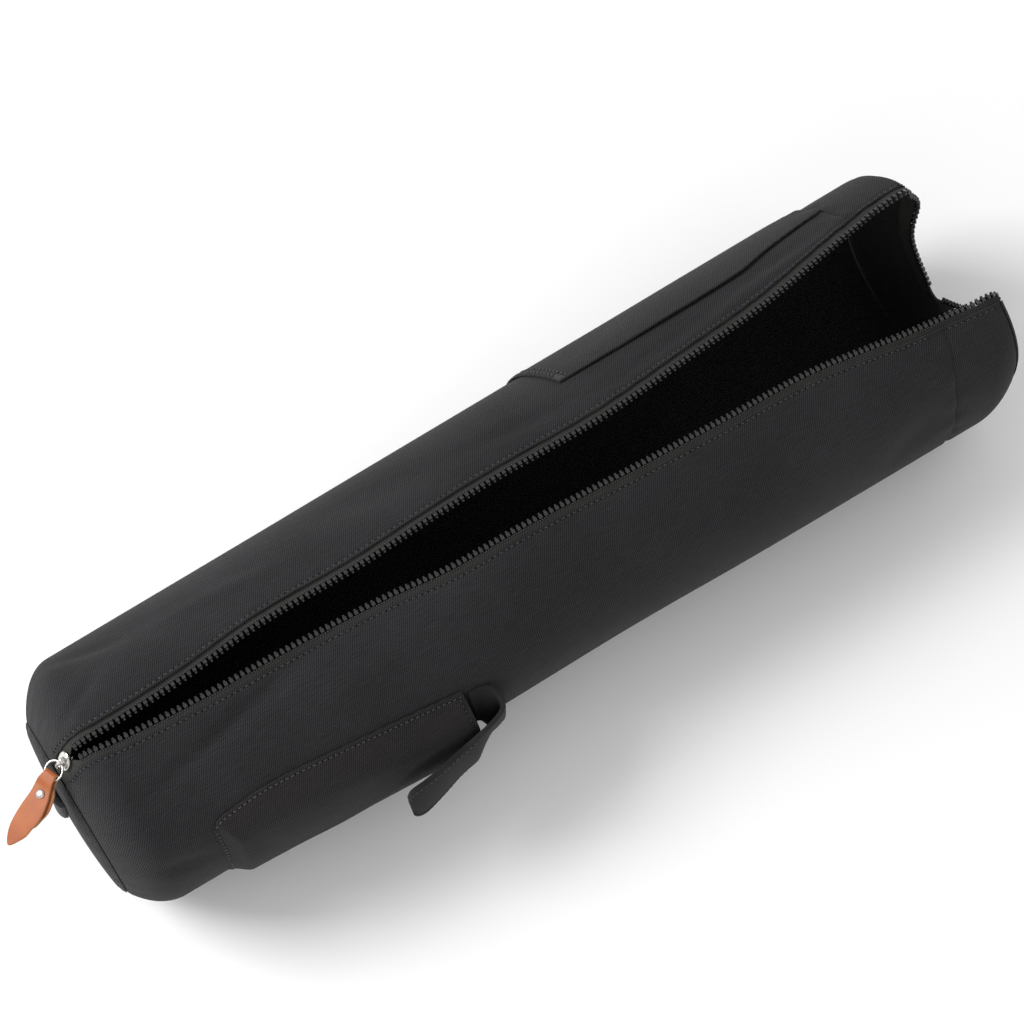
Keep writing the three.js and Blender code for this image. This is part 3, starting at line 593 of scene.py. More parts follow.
# %% Thread, plastic and metal
def thread_material(name, dark, pale):
    """Sewing thread with a soft shine, and near-black painted shade on the needle holes at its ends."""
    tree = Tree(name)
    place = tree.node("ShaderNodeTexCoord", output="Object")
    tone = tree.noise(place, 900.0)
    twist = tree.bump(tree.noise(place, 2600.0), 0.05, 0.6)
    hole_shade = tree.node("ShaderNodeAttribute", output="Fac", attribute_name="needle_hole_shade")
    # The needle holes take a near-black colour: painted shade for the hole where the thread goes into the
    # cloth.
    color = tree.mix(hole_shade, tree.mix(tone, dark, pale), (0.0015, 0.0015, 0.0015))
    return tree.set(color=color, rough=tree.ramp(hole_shade, 0, 1, 0.45, 1.0), normal=twist, specular=0.3)


def moulded_plastic(name, dark, pale):
    """Glossy black plastic with faint ripples from its mould."""
    tree = Tree(name)
    place = tree.node("ShaderNodeTexCoord", output="Object")
    ripple = tree.noise(place, 420.0, 2.0)
    rough = tree.ramp(tree.noise(place, 160.0), 0.3, 0.7, 0.12, 0.3)
    return tree.set(color=tree.mix(ripple, dark, pale), rough=rough, specular=0.6, coat=0.4,
                    coat_rough=0.12, normal=tree.bump(ripple, 0.1, 0.5))


def plated_metal(name, color, low, high):
    """Bright plating with fine scratches and faint clouds."""
    tree = Tree(name)
    place = tree.node("ShaderNodeTexCoord", output="Object")
    clouds = tree.noise(place, 220.0, 3.0)
    stretched = tree.node("ShaderNodeMapping", inputs={"Vector": place, "Scale": (300, 2600, 900)})
    scratches = tree.noise(stretched, 1.0)
    rough = tree.ramp(tree.math("ADD", clouds, tree.math("MULTIPLY", scratches, 0.5)), 0.4, 1.1, low, high)
    shade_color = tree.mix(tree.ramp(clouds, 0.3, 0.7), tuple(c * 0.86 for c in color), color)
    return tree.set(color=shade_color, metal=1.0, rough=rough, normal=tree.bump(scratches, 0.004, 0.2))


thread = thread_material("thread_black", (0.020, 0.020, 0.022), (0.075, 0.075, 0.080))
pale_thread = thread_material("thread_grey", (0.03, 0.03, 0.03), (0.12, 0.12, 0.12))
tooth_plastic = moulded_plastic("tooth_black", (0.006, 0.006, 0.007), (0.016, 0.016, 0.018))
nickel = plated_metal("nickel", (0.66, 0.65, 0.62), 0.16, 0.32)
print("hard finishes:", thread.name, tooth_plastic.name, nickel.name)


# %% Leather
def tanned_leather(name):
    """Smooth tan leather: fine grain, soft clouds, and paler raw fibres where it is cut."""
    tree = Tree(name)
    place = tree.node("ShaderNodeTexCoord", output="Object")
    grain = tree.node("ShaderNodeTexVoronoi", inputs={"Vector": place, "Scale": 1500.0})
    fine = tree.noise(place, 900.0, 5.0)
    clouds = tree.noise(place, 60.0, 3.0)
    face = tree.mix(tree.ramp(clouds, 0.3, 0.7), (0.30, 0.078, 0.020), (0.40, 0.116, 0.034))
    pores = tree.math("MULTIPLY", tree.ramp(grain, 0.0, 0.25, 1.0, 0.0), 0.35)
    face = tree.mix(pores, face, (0.20, 0.055, 0.016))
    cut = tree.node("ShaderNodeAttribute", output="Fac", attribute_name="cut_edge")
    fibres = tree.mix(fine, (0.32, 0.15, 0.07), (0.56, 0.34, 0.20))
    color = tree.mix(cut, face, fibres)
    rough = tree.ramp(tree.math("ADD", tree.math("MULTIPLY", fine, 0.5), cut), 0.2, 1.2, 0.42, 0.9)
    height = tree.math("ADD", tree.math("MULTIPLY", grain, 0.6), tree.math("MULTIPLY", fine, 0.4))
    return tree.set(color=color, rough=rough, specular=0.25, coat=0.04, coat_rough=0.3,
                    normal=tree.bump(height, 0.08, 0.5))


leather = tanned_leather("leather_tan")
print("leather:", leather.name)

# %% [markdown]
# ## The canvas tube
# The main panel runs from the closed end's seam to the band's seam, and the band goes on to the
# rim. Both are one grid of points each, round the bag from one edge of the zip to the other. The
# columns stand close together at those edges, where the stitching pulls a shallow groove.

# %% Columns round the bag
groove_place = 2.2
groove_width = 0.9
groove_depth = 0.45
edge_steps = np.array([0, 0.7, 1.4, 2.2, 3.0, 4.2, 6.5, 9.5])
tube_length_round = 465.0
inner_columns = 136

edge_shares = edge_steps / tube_length_round
column_shares = np.concatenate([
    edge_shares[:-1],
    np.linspace(edge_shares[-1], 1 - edge_shares[-1], inner_columns),
    1 - edge_shares[:-1][::-1],
])


def canvas_angles(x):
    """Angles of all columns at one x: from the near zip edge over the floor to the far one."""
    edge = around(x, canvas_edge)
    near = near_edge(share_at(x)) + edge
    far = 360 + far_edge(share_at(x)) - edge
    return near + (far - near) * column_shares


def seam_groove(shares):
    """How deep the topstitch pulls the cloth, from its distance to the zip edges."""
    distance = np.minimum(shares, 1 - shares) * tube_length_round
    return groove_depth * np.exp(-(((distance - groove_place) / groove_width) ** 2))


def tube_grid(start_at, end_at, row_shares, depth):
    """A grid of points and its flat cloth map, between two seams."""
    middle = blend(start_at(0.0), end_at(0.0), row_shares)
    angles = np.stack([canvas_angles(x) for x in middle])
    x = blend(start_at(angles), end_at(angles), row_shares[:, None])
    points = surface(x, angles, depth + seam_groove(column_shares)[None, :])
    flat = np.stack([x, np.radians(angles) * closed_width / 2], -1)
    return points, flat


print("columns round the bag:", len(column_shares))

# %% Main panel and end band
main_length = band_seam_at(0.0) - closed_seam
near_seam = np.array([0, 0.5, 1.1, 1.9, 3.0, 5.0])
main_rows = np.concatenate([
    near_seam[:-1] / main_length,
    np.linspace(near_seam[-1], closed_shoulder, 12)[:-1] / main_length,
    np.linspace(closed_shoulder / main_length, 0.95, 168)[:-1],
    np.linspace(0.95, 1 - near_seam[-1] / main_length, 12)[:-1],
    1 - near_seam[::-1] / main_length,
])
band_length = band_width - band_lean - sewn_gap
band_rows = np.concatenate([
    near_seam[:-1] / band_length,
    np.linspace(near_seam[-1] / band_length, 1 - near_seam[-1] / band_length, 22)[:-1],
    1 - near_seam[::-1] / band_length,
])
seam_roll = 0.9
roll_reach = 1.5
seam_lap = 0.5


def rolled(distance):
    """How far a cloth's face turns in beside a seam."""
    return seam_roll * np.exp(-((distance / roll_reach) ** 2))


def closed_seam_at(angle):
    """The main panel's edge at the closed end, the same all round: it meets the end panel."""
    return closed_seam - seam_lap + 0 * angle


def main_end_at(angle):
    """The main panel's other edge, which goes a little under the band."""
    return band_seam_at(angle) + seam_lap


def band_start_at(angle):
    """The band's own edge, sewn to the main panel."""
    return band_seam_at(angle) + sewn_gap


def canvas_tube(name, start_at, end_at, rows, length):
    """One canvas panel round the bag."""
    turned_in = rolled(rows * length) + rolled((1 - rows) * length)
    outer, flat = tube_grid(start_at, end_at, rows, turned_in[:, None])
    inner, _ = tube_grid(start_at, end_at, rows, canvas_wall)
    return cloth(name, outer, inner, flat)


main_panel = canvas_tube("main_panel_canvas", closed_seam_at, main_end_at, main_rows, main_length)
finish_piece(main_panel, canvas, "canvas", "main_panel")
end_band = canvas_tube("end_band_canvas", band_start_at, rim_at, band_rows, band_length)
finish_piece(end_band, canvas, "canvas", "end_band")

# %% [markdown]
# ## The two ends
# The closed end is a round panel that bulges a little. The open end is the same panel cut by the
# zip: its edges hang down from the rim and bend to a point. The grid of that panel starts on a
# small circle round the point, so that no face gets thin, and bows out beside the split.

# %% Closed end panel
end_sides = 120
end_shares = np.concatenate([np.linspace(0.02, 0.9, 22), np.linspace(0.93, 0.975, 4), [0.984, 0.992, 1]])
end_pucker = 0.5
rim_slope = 0.055
open_rim_slope = 0.022


def closed_end_point(share, angle, depth):
    """A point on the closed end, at a share of its radius."""
    shape = section(closed_seam)
    edge = surface(closed_seam, angle, 0.0)
    wave = np.sin(np.radians(angle) * pucker_count)
    bulge = closed_dome * (1 - share**dome_fullness) + end_pucker * wave * share**6 * (1 - share) * 6
    x = closed_seam - sewn_gap - canvas_wall - bulge + depth
    reach = share - rim_slope * smooth(0.86, 1.0, share) * (depth == 0)
    y = edge[..., 1] * reach
    z = shape["middle"] + (edge[..., 2] - shape["middle"]) * reach
    return np.stack(np.broadcast_arrays(x, y, z), -1)


def closed_end_grid(depth):
    """Rings from the middle of the closed end to its seam."""
    angle = np.linspace(0, 360, end_sides, endpoint=False)
    return closed_end_point(end_shares[:, None], angle[None, :], depth)


outer = closed_end_grid(0.0)
closed_end = cloth("closed_end_canvas", outer, closed_end_grid(canvas_wall), outer[..., 1:], disc=True)
finish_piece(closed_end, canvas, "canvas", "closed_end_panel")


# %% The split in the open end
def open_end_at(y, z):
    """The outer face of the open end at a place across it."""
    crown = section(open_seam, 0.0)
    angle = np.degrees(np.arctan2(-y / crown["half"], (z - crown["middle"]) / crown["rise"]))
    shape = section(rim_at(angle), angle)
    share = np.minimum(1, np.hypot(y / shape["half"], (z - shape["middle"]) / shape["rise"]))
    bulge = open_dome * (1 - share**2) + flare_at(y, z)
    return end_plane_at(-y / shape["half"]) + sewn_gap + canvas_wall + bulge


def on_open_end(spots, depth):
    """Points on the open end from places across it."""
    x = open_end_at(spots[..., 0], spots[..., 1]) - depth
    return np.concatenate([x[..., None], spots], -1)


class SplitEdge:
    """One side of the split: 1 is the near side and -1 the far side."""

    def __init__(self, side):
        self.side = side
        self.top = rim_point(near_edge(1.0) if side > 0 else far_edge(1.0), 0.0)
        self.fall = self.top[2] - (rim_point(0.0, 0.0)[2] - split_depth)

    def away(self, share):
        """The direction from the gap into the cloth."""
        slope = -self.top[1] * split_fullness * share ** (split_fullness - 1)
        down = np.stack(np.broadcast_arrays(slope, -self.fall), -1)
        down = down / np.linalg.norm(down, axis=-1, keepdims=True)
        return np.stack([down[..., 1] * self.side, -down[..., 0] * self.side], -1)

    def beside(self, share, distance):
        """Places beside the edge, across the open end."""
        share = np.asarray(share, float)
        y = self.top[1] * (1 - share**split_fullness)
        z = self.top[2] - self.fall * share
        return np.stack([y, z], -1) + self.away(share) * distance

    def bow(self, share):
        """How far the cloth bows out from a straight line between foot and rim."""
        foot, top = self.beside(1.0, canvas_edge), self.beside(0.0, canvas_edge)
        straight = foot + (top - foot) * share[:, None]
        return self.beside(1 - share, canvas_edge) - straight


near_split, far_split = SplitEdge(1), SplitEdge(-1)
print("split from z", round(float(near_split.top[2]), 1), "down by", round(float(near_split.fall), 1))

# %% Open end panel
bowed_share = 0.45
end_rows = np.concatenate([np.linspace(0, 0.9, 24), np.linspace(0.925, 1, 5)])


def open_end_grid(depth):
    """The open end's panel, from a circle round the split's foot to the rim."""
    foot = near_split.beside(1.0, 0.0)
    turns = [math.atan2(*edge.away(np.array(1.0))[::-1]) for edge in (near_split, far_split)]
    turn = (turns[1] - turns[0]) % (2 * math.pi)
    angles = canvas_angles(open_seam)
    ahead = np.linspace(0, 1, len(angles))
    direction = turns[0] + turn * ahead
    hub = foot + canvas_edge * np.stack([np.cos(direction), np.sin(direction)], -1)
    rim = rim_point(angles, 0.0)[:, 1:]
    spots = hub[None] + (rim - hub)[None] * end_rows[:, None, None]
    near_pull = np.maximum(0, 1 - ahead / bowed_share)
    far_pull = np.maximum(0, 1 - (1 - ahead) / bowed_share)
    spots = spots + near_split.bow(end_rows)[:, None] * near_pull[None, :, None]
    spots = spots + far_split.bow(end_rows)[:, None] * far_pull[None, :, None]
    sloped = open_rim_slope * smooth(0.86, 1.0, end_rows)[:, None, None] * (depth == 0)
    return on_open_end(spots + (np.array([0.0, widest_height]) - spots) * sloped, depth)


outer = open_end_grid(0.0)
open_end = cloth("open_end_canvas", outer, open_end_grid(canvas_wall), outer[..., 1:])
finish_piece(open_end, canvas, "canvas", "open_end_panel")

# %% [markdown]
# ## The zip
# A moulded zip is two woven tapes, each with a row of separate teeth. Here it is open all the way,
# so the two rows part, run along the top, turn the corner of the rim and hang down beside the
# split. One function gives every line that runs along the zip, so tapes, teeth and seams agree.

# %% Lines along the zip
corner_turn = 14.0
zip_step = 3.0
tape_meet = 0.2
tape_top = canvas_wall + sewn_gap
tape_middle = tape_top + tape_thickness / 2


def zip_line(side, away, depth, start, stop):
    """Points along one side of the zip, at a distance from the tips of its teeth."""
    edge_at = near_edge if side > 0 else far_edge
    split = near_split if side > 0 else far_split
    rim = float(rim_at(edge_at(1.0)))
    x = np.arange(start, rim - corner_turn, zip_step)
    top = surface(x, edge_at(share_at(x)) + side * around(x, away), depth)
    corner = rim_point(edge_at(1.0) + side * around(open_seam, away), depth)
    corner = on_open_end(corner[1:], depth)
    count = int((split.fall - split_corner - stop) / zip_step)
    shares = np.linspace(split_corner, split.fall - stop, count) / split.fall
    down = on_open_end(split.beside(shares, away), depth)
    before, after = top[-1], down[0]
    pull = corner + ((corner - before) + (corner - after)) / 2
    t = np.linspace(0, 1, 10)[1:-1, None]
    bend = before * (1 - t) ** 2 + 2 * pull * t * (1 - t) + after * t**2
    return np.concatenate([top, bend, down])


def run_length(points):
    """Distance along a line of points."""
    return np.concatenate([[0], np.cumsum(np.linalg.norm(np.diff(points, axis=0), axis=1))])


def zip_tape(name, side):
    """One woven tape with a corded edge under the teeth. The two meet at the closed end."""
    start = closed_seam + sewn_gap
    places = np.array([tooth_row + sewn_gap, 4.9, 5.6, 6.4, 8, 10, 12, canvas_edge + tape_hidden])
    cord = np.array([0.25, 0.45, 0.1, 0, 0, 0, 0, 0])
    met = tape_meet + (places - places[0]) * (places[-1] - tape_meet) / (places[-1] - places[0])
    top = np.stack([zip_line(side, a, tape_top - c, start, 0) for a, c in zip(places, cord)], 1)
    foot = np.stack([zip_line(side, a, tape_top + tape_thickness, start, 0) for a in places], 1)
    closed_top = np.stack([zip_line(side, a, tape_top, start, 0) for a in met], 1)
    closed_foot = np.stack([zip_line(side, a, tape_top + tape_thickness, start, 0) for a in met], 1)
    meeting = smooth(closed_seam + 16, closed_seam + 11, top[:, :1, :1])
    top = blend(top, closed_top, meeting)
    foot = blend(foot, closed_foot, meeting)
    along = run_length(top[:, 0])
    flat = np.stack(np.broadcast_arrays(along[:, None], places[None]), -1)
    return cloth(name, top, foot, flat, 0.25)


for tape_name, side in (("far", -1), ("near", 1)):
    finish_piece(zip_tape(f"{tape_name}_tape", side), tape_cloth, "zip_tape", f"{tape_name}_zip_tape")

# %% [markdown]
# ## Repeats along a line
# Teeth and stitches are the same small shape many times over. Geometry Nodes do this well: a line
# of points becomes a curve, the curve is cut into even steps, and one shape is put on each step.
# Two named attributes, which point out of the cloth and aside, turn every copy the right way. The
# tree ends by making real meshes, and the result is then taken as a plain mesh.

# %% A Geometry Nodes tree for repeats
tree = bpy.data.node_groups.new("repeat_along_line", "GeometryNodeTree")
tree.interface.new_socket("Line", in_out="INPUT", socket_type="NodeSocketGeometry")
tree.interface.new_socket("Shape", in_out="INPUT", socket_type="NodeSocketObject")
tree.interface.new_socket("Spacing", in_out="INPUT", socket_type="NodeSocketFloat")
tree.interface.new_socket("Wobble", in_out="INPUT", socket_type="NodeSocketFloat")
tree.interface.new_socket("Seed", in_out="INPUT", socket_type="NodeSocketInt")
tree.interface.new_socket("Material", in_out="INPUT", socket_type="NodeSocketMaterial")
tree.interface.new_socket("Mesh", in_out="OUTPUT", socket_type="NodeSocketGeometry")
socket_of = {item.name: item.identifier for item in tree.interface.items_tree if item.in_out == "INPUT"}

entry = tree.nodes.new("NodeGroupInput")
exit_node = tree.nodes.new("NodeGroupOutput")
to_curve = tree.nodes.new("GeometryNodeMeshToCurve")
resample = tree.nodes.new("GeometryNodeResampleCurve")
resample.mode = "LENGTH"
outward = tree.nodes.new("GeometryNodeInputNamedAttribute")
outward.data_type = "FLOAT_VECTOR"
outward.inputs["Name"].default_value = "outward"
aside = tree.nodes.new("GeometryNodeInputNamedAttribute")
aside.data_type = "FLOAT_VECTOR"
aside.inputs["Name"].default_value = "aside"
axes = tree.nodes.new("FunctionNodeAxesToRotation")
axes.primary_axis = "Z"
axes.secondary_axis = "Y"
wobble = tree.nodes.new("FunctionNodeRandomValue")
wobble.data_type = "FLOAT_VECTOR"
low_turn = tree.nodes.new("ShaderNodeVectorMath")
low_turn.operation = "SCALE"
low_turn.inputs[0].default_value = (-1, -1, -1)
high_turn = tree.nodes.new("ShaderNodeVectorMath")
high_turn.operation = "SCALE"
high_turn.inputs[0].default_value = (1, 1, 1)
shape_info = tree.nodes.new("GeometryNodeObjectInfo")
place_copies = tree.nodes.new("GeometryNodeInstanceOnPoints")
turn_copies = tree.nodes.new("GeometryNodeRotateInstances")
realize = tree.nodes.new("GeometryNodeRealizeInstances")
set_material = tree.nodes.new("GeometryNodeSetMaterial")

join = tree.links.new
join(entry.outputs["Line"], to_curve.inputs["Mesh"])
join(to_curve.outputs["Curve"], resample.inputs["Curve"])
join(entry.outputs["Spacing"], resample.inputs["Length"])
join(resample.outputs["Curve"], place_copies.inputs["Points"])
join(entry.outputs["Shape"], shape_info.inputs["Object"])
join(shape_info.outputs["Geometry"], place_copies.inputs["Instance"])
join(outward.outputs["Attribute"], axes.inputs["Primary Axis"])
join(aside.outputs["Attribute"], axes.inputs["Secondary Axis"])
join(axes.outputs["Rotation"], place_copies.inputs["Rotation"])
join(entry.outputs["Wobble"], low_turn.inputs["Scale"])
join(entry.outputs["Wobble"], high_turn.inputs["Scale"])
join(low_turn.outputs[0], wobble.inputs["Min"])
join(high_turn.outputs[0], wobble.inputs["Max"])
join(entry.outputs["Seed"], wobble.inputs["Seed"])
join(place_copies.outputs["Instances"], turn_copies.inputs["Instances"])
join(wobble.outputs["Value"], turn_copies.inputs["Rotation"])
join(turn_copies.outputs["Instances"], realize.inputs["Geometry"])
join(realize.outputs["Geometry"], set_material.inputs["Geometry"])
join(entry.outputs["Material"], set_material.inputs["Material"])
join(set_material.outputs["Geometry"], exit_node.inputs["Mesh"])
print("inputs of the tree:", list(socket_of))


# %% Lines for the repeats
def unit(vectors):
    """Vectors of length one."""
    return vectors / np.maximum(np.linalg.norm(vectors, axis=-1, keepdims=True), 1e-9)


def line_with_sides(points, above):
    """A line and its two directions, from the line and a second one that lies above it."""
    outward_side = unit(above - points)
    run = unit(np.gradient(points, axis=0))
    return points, outward_side, unit(np.cross(outward_side, run))


def repeats(name, lines, shape, spacing, material, wobble_degrees=0.0, seed=1):
    """Copies of one small shape along lines, as one plain mesh."""
    points, outwards, asides, edges = [], [], [], []
    for line, outward_side, aside_side in lines:
        start = sum(len(part) for part in points)
        edges += [(start + i, start + i + 1) for i in range(len(line) - 1)]
        points.append(line)
        outwards.append(outward_side)
        asides.append(aside_side)
    mesh = bpy.data.meshes.new(name)
    mesh.from_pydata((np.concatenate(points) * MM).tolist(), edges, [])
    for attribute_name, values in (("outward", outwards), ("aside", asides)):
        attribute = mesh.attributes.new(attribute_name, "FLOAT_VECTOR", "POINT")
        attribute.data.foreach_set("vector", np.concatenate(values).ravel())
    piece = add_object(name, mesh)
    modifier = piece.modifiers.new("repeats", "NODES")
    modifier.node_group = tree
    modifier[socket_of["Shape"]] = shape
    modifier[socket_of["Spacing"]] = spacing * MM
    modifier[socket_of["Wobble"]] = math.radians(wobble_degrees)
    modifier[socket_of["Seed"]] = seed
    modifier[socket_of["Material"]] = material
    plain_mesh(piece)
    return shade(piece, 35)


print("spacing is given in mm")


# %% One tooth
def rounded_box(mesh, size, place, bevel):
    """Adds a box with rounded edges, in mm, to an open mesh."""
    made = bmesh.ops.create_cube(mesh, size=1.0)["verts"]
    bmesh.ops.scale(mesh, vec=Vector(size) * MM, verts=made)
    bmesh.ops.translate(mesh, vec=Vector(place) * MM, verts=made)
    edges = list({edge for vert in made for edge in vert.link_edges})
    bmesh.ops.bevel(mesh, geom=edges, offset=bevel * MM, segments=1, profile=0.6, affect="EDGES")


def tooth_mesh():
    """A moulded tooth: a block that grips the tape, and a smaller, lower head towards the gap."""
    mesh = bmesh.new()
    rounded_box(mesh, (2.6, 2.7, 3.2), (0, 0.72, 0), 0.28)
    rounded_box(mesh, (1.55, 1.8, 1.6), (0, -1.15, -0.25), 0.22)
    made = bpy.data.meshes.new("tooth")
    mesh.to_mesh(made)
    mesh.free()
    return made


def hidden_shape(name, mesh):
    """An object that only the tree uses. It isn't in the scene."""
    return bpy.data.objects.new(name, mesh)


tooth = hidden_shape("tooth_shape", tooth_mesh())
print("faces of a tooth:", len(tooth.data.polygons))

# %% Rows of teeth
tooth_pitch = 3.93
slider_setback = 8.2
slider_length = 14
tooth_start = closed_seam + slider_setback + slider_length / 2 + 1.6


def tooth_line(side):
    """The middle line of one row of teeth, with its directions."""
    middle = zip_line(side, tooth_row / 2, tape_middle, tooth_start, split_stop + 1.5)
    above = zip_line(side, tooth_row / 2, tape_middle - 1, tooth_start, split_stop + 1.5)
    beside = zip_line(side, tooth_row / 2 + 1, tape_middle, tooth_start, split_stop + 1.5)
    return middle, unit(above - middle), unit(beside - middle)


for row_name, side, seed in (("far", -1, 3), ("near", 1, 5)):
    row = repeats(f"{row_name}_teeth", [tooth_line(side)], tooth, tooth_pitch, tooth_plastic, 1.6, seed)
    finish_piece(row, tooth_plastic, "zip_teeth", f"{row_name}_zip_teeth")


# %% One stitch
def stitch_mesh(length, radius, dip):
    """A short arch of thread whose two ends go down into needle holes of near-black painted shade."""
    sides = 6
    turn = np.linspace(0, 2 * math.pi, sides, endpoint=False)
    steps = np.array([-1, -0.8, -0.35, 0.35, 0.8, 1.0])
    rings = []
    for place in steps:
        thin = radius * (0.55 if abs(place) == 1 else 1)
        height = radius * 0.35 - dip * place**4
        along = 0 * turn + place * length / 2
        rings.append(np.stack([along, thin * np.cos(turn), height + thin * np.sin(turn)], -1))
    points = np.concatenate(rings)
    faces = []
    for ring in range(len(steps) - 1):
        for side in range(sides):
            a, b = ring * sides + side, ring * sides + (side + 1) % sides
            faces.append((a, b, b + sides, a + sides))
    faces.append(tuple(range(sides - 1, -1, -1)))
    faces.append(tuple(range(len(points) - sides, len(points))))
    thread_points = len(points)
    # Each end gets a small dome for the needle hole, which the thread's material paints near-black as
    # painted shade.
    for end in (-1, 1):
        ring = np.stack([radius * 1.7 * np.cos(turn), radius * 1.7 * np.sin(turn), 0 * turn - 0.3], -1)
        dome = np.concatenate([ring, ring * (0.7, 0.7, 0) + (0, 0, radius * 0.35)])
        start = len(points)
        points = np.concatenate([points, dome + (end * (length / 2 + radius * 0.5), 0, 0)])
        for side in range(sides):
            a, b = start + side, start + (side + 1) % sides
            faces.append((a, b, b + sides, a + sides))
        faces.append(tuple(range(start + sides - 1, start - 1, -1)))
        faces.append(tuple(range(start + sides, start + 2 * sides)))
    mesh = bpy.data.meshes.new("stitch")
    mesh.from_pydata((points * MM).tolist(), [], faces)
    hole_shade = mesh.attributes.new("needle_hole_shade", "FLOAT", "POINT")
    hole_shade.data.foreach_set("value", [0.0] * thread_points + [1.0] * (len(points) - thread_points))
    return mesh


topstitch = hidden_shape("topstitch_shape", stitch_mesh(2.7, 0.36, 0.55))
fine_stitch = hidden_shape("fine_stitch_shape", stitch_mesh(1.25, 0.22, 0.2))
print("faces of a stitch:", len(topstitch.data.polygons))

# %% Stitches along the zip
stitch_pitch = 4.1
fine_pitch = 1.7


def along_surface(x, angle, lift):
    """A line over the bag's face, with its directions."""
    return line_with_sides(surface(x, angle, -lift), surface(x, angle, -lift - 1))


def zip_topstitch(side, start_at, end_at):
    """The seam that holds the canvas to the tape, between two places."""
    edge_at = near_edge if side > 0 else far_edge
    x = np.arange(start_at, end_at, 2.0)
    angle = edge_at(share_at(x)) + side * around(x, canvas_edge + groove_place)
    return along_surface(x, angle, -groove_depth * 0.8)


def split_topstitch(side):
    """The same seam, down beside the split."""
    split = near_split if side > 0 else far_split
    shares = np.linspace(0.16, 0.98, 40)
    spots = split.beside(shares, canvas_edge + groove_place)
    return line_with_sides(on_open_end(spots, 0.1), on_open_end(spots, -0.9))


def tape_stitch(side):
    """Fine stitches along the tape, right beside the teeth."""
    args = (tooth_start, split_stop)
    low = zip_line(side, tooth_row + 0.75, tape_top - 0.45, *args)
    high = zip_line(side, tooth_row + 0.75, tape_top - 1.45, *args)
    return line_with_sides(low, high)


seams = [zip_topstitch(side, closed_seam + 6, 279) for side in (-1, 1)]
seams += [zip_topstitch(side, 296, 330) for side in (-1, 1)]
seams += [split_topstitch(side) for side in (-1, 1)]
finish_piece(repeats("zip_topstitches", seams, topstitch, stitch_pitch, thread, 5, 7), thread, "canvas")
tape_seams = [tape_stitch(side) for side in (-1, 1)]
fine = repeats("tape_stitches", tape_seams, fine_stitch, fine_pitch, pale_thread, 6, 9)
finish_piece(fine, pale_thread, "zip_tape")

# %% [markdown]
# ## The gusseted pocket
# The pocket on the near side is sewn flat along a narrow flange, and then rises over a soft edge to
# a deep front, deepest at its open mouth. Its height over the bag is a rule of the distance to its
# edges. Broad slanting folds run down from the mouth, where it was pulled open.

# %% Sizes of the gusseted pocket
pocket_start = 62
pocket_length = 176
pocket_low_angle = 118
pocket_depth_closed = 7
pocket_depth_mouth = 15
pocket_wall = 2
flange_width = 3.6
flange_height = 1.3
gusset_width = 21.0
end_gusset = 10.0
pocket_upper_edge = [
    dict(at=0.00, angle=61),
    dict(at=0.02, angle=58.2),
    dict(at=0.05, angle=56.2),
    dict(at=0.25, angle=54),
    dict(at=0.60, angle=58),
    dict(at=1.00, angle=64),
]
pocket_folds = [
    dict(at=0.62, across=0.54, long=0.26, wide=0.09, slant=-0.9, depth=-2.2),
    dict(at=0.76, across=0.40, long=0.22, wide=0.08, slant=-0.9, depth=3.0),
    dict(at=0.88, across=0.30, long=0.14, wide=0.12, slant=-0.6, depth=-0.8),
    dict(at=0.30, across=0.60, long=0.22, wide=0.16, slant=0.3, depth=0.9),
    dict(at=0.12, across=0.34, long=0.08, wide=0.14, slant=1.2, depth=0.8),
]
upper_edge = reader(pocket_upper_edge, "angle")
print("pocket from x", closed_seam + pocket_start, "to", closed_seam + pocket_start + pocket_length)


# %% Gusseted pocket
def pocket_height(along, across, x, angle):
    """How far the pocket's face stands over the bag."""
    half = section(x)["half"]
    top_gap = np.radians(angle - upper_edge(along)) * half
    low_gap = np.radians(pocket_low_angle - angle) * half
    start_gap = along * pocket_length
    side_gap = np.minimum(top_gap, low_gap)
    gap = np.minimum(side_gap, start_gap)
    depth = blend(pocket_depth_closed, pocket_depth_mouth, along)
    crown = 1 + 0.05 * np.sin(math.pi * across)
    side_rise = smooth(flange_width - gusset_width * 0.35, flange_width + gusset_width, side_gap)
    end_rise = smooth(flange_width * 0.6, flange_width + end_gusset, start_gap)
    rise = flange_height * smooth(-0.6, 2.0, gap)
    rise = rise + (depth * crown - flange_height) * np.minimum(side_rise, end_rise) ** 0.8
    for fold in pocket_folds:
        centre = fold["across"] + fold["slant"] * (along - fold["at"])
        ahead = ((along - fold["at"]) / fold["long"]) ** 2
        aside = ((across - centre) / fold["wide"]) ** 2
        here = np.exp(-ahead - aside)
        rise = rise - fold["depth"] * here * smooth(flange_width, 30, gap)
    groove = 0.4 * np.exp(-(((gap - flange_width * 0.55) / 0.8) ** 2))
    hem = 0.45 * np.exp(-(((along * pocket_length - pocket_length + 3.2) / 0.9) ** 2))
    return rise - groove - hem * smooth(flange_width, 12, gap)


def joined_steps(spans):
    """Steps through spans that meet at their ends, each a start, an end and a count."""
    runs = [np.linspace(*span) for span in spans]
    return np.concatenate([run[:-1] for run in runs[:-1]] + [runs[-1]])


def pocket_grid(thickness):
    """The pocket's outer face, or its inner face some thickness below."""
    along = joined_steps([(0, 0.12, 18), (0.12, 0.94, 70), (0.94, 1, 14)])
    across = joined_steps([(0, 0.2, 22), (0.2, 0.8, 34), (0.8, 1, 22)])
    along, across = np.meshgrid(along, across, indexing="ij")
    x = closed_seam + pocket_start + along * pocket_length
    angle = blend(upper_edge(along), pocket_low_angle, across)
    rise = pocket_height(along, across, x, angle)
    points = surface(x, angle, -np.maximum(0.06, rise - thickness) - sewn_gap)
    return points, np.stack([x, np.radians(angle) * 95], -1)


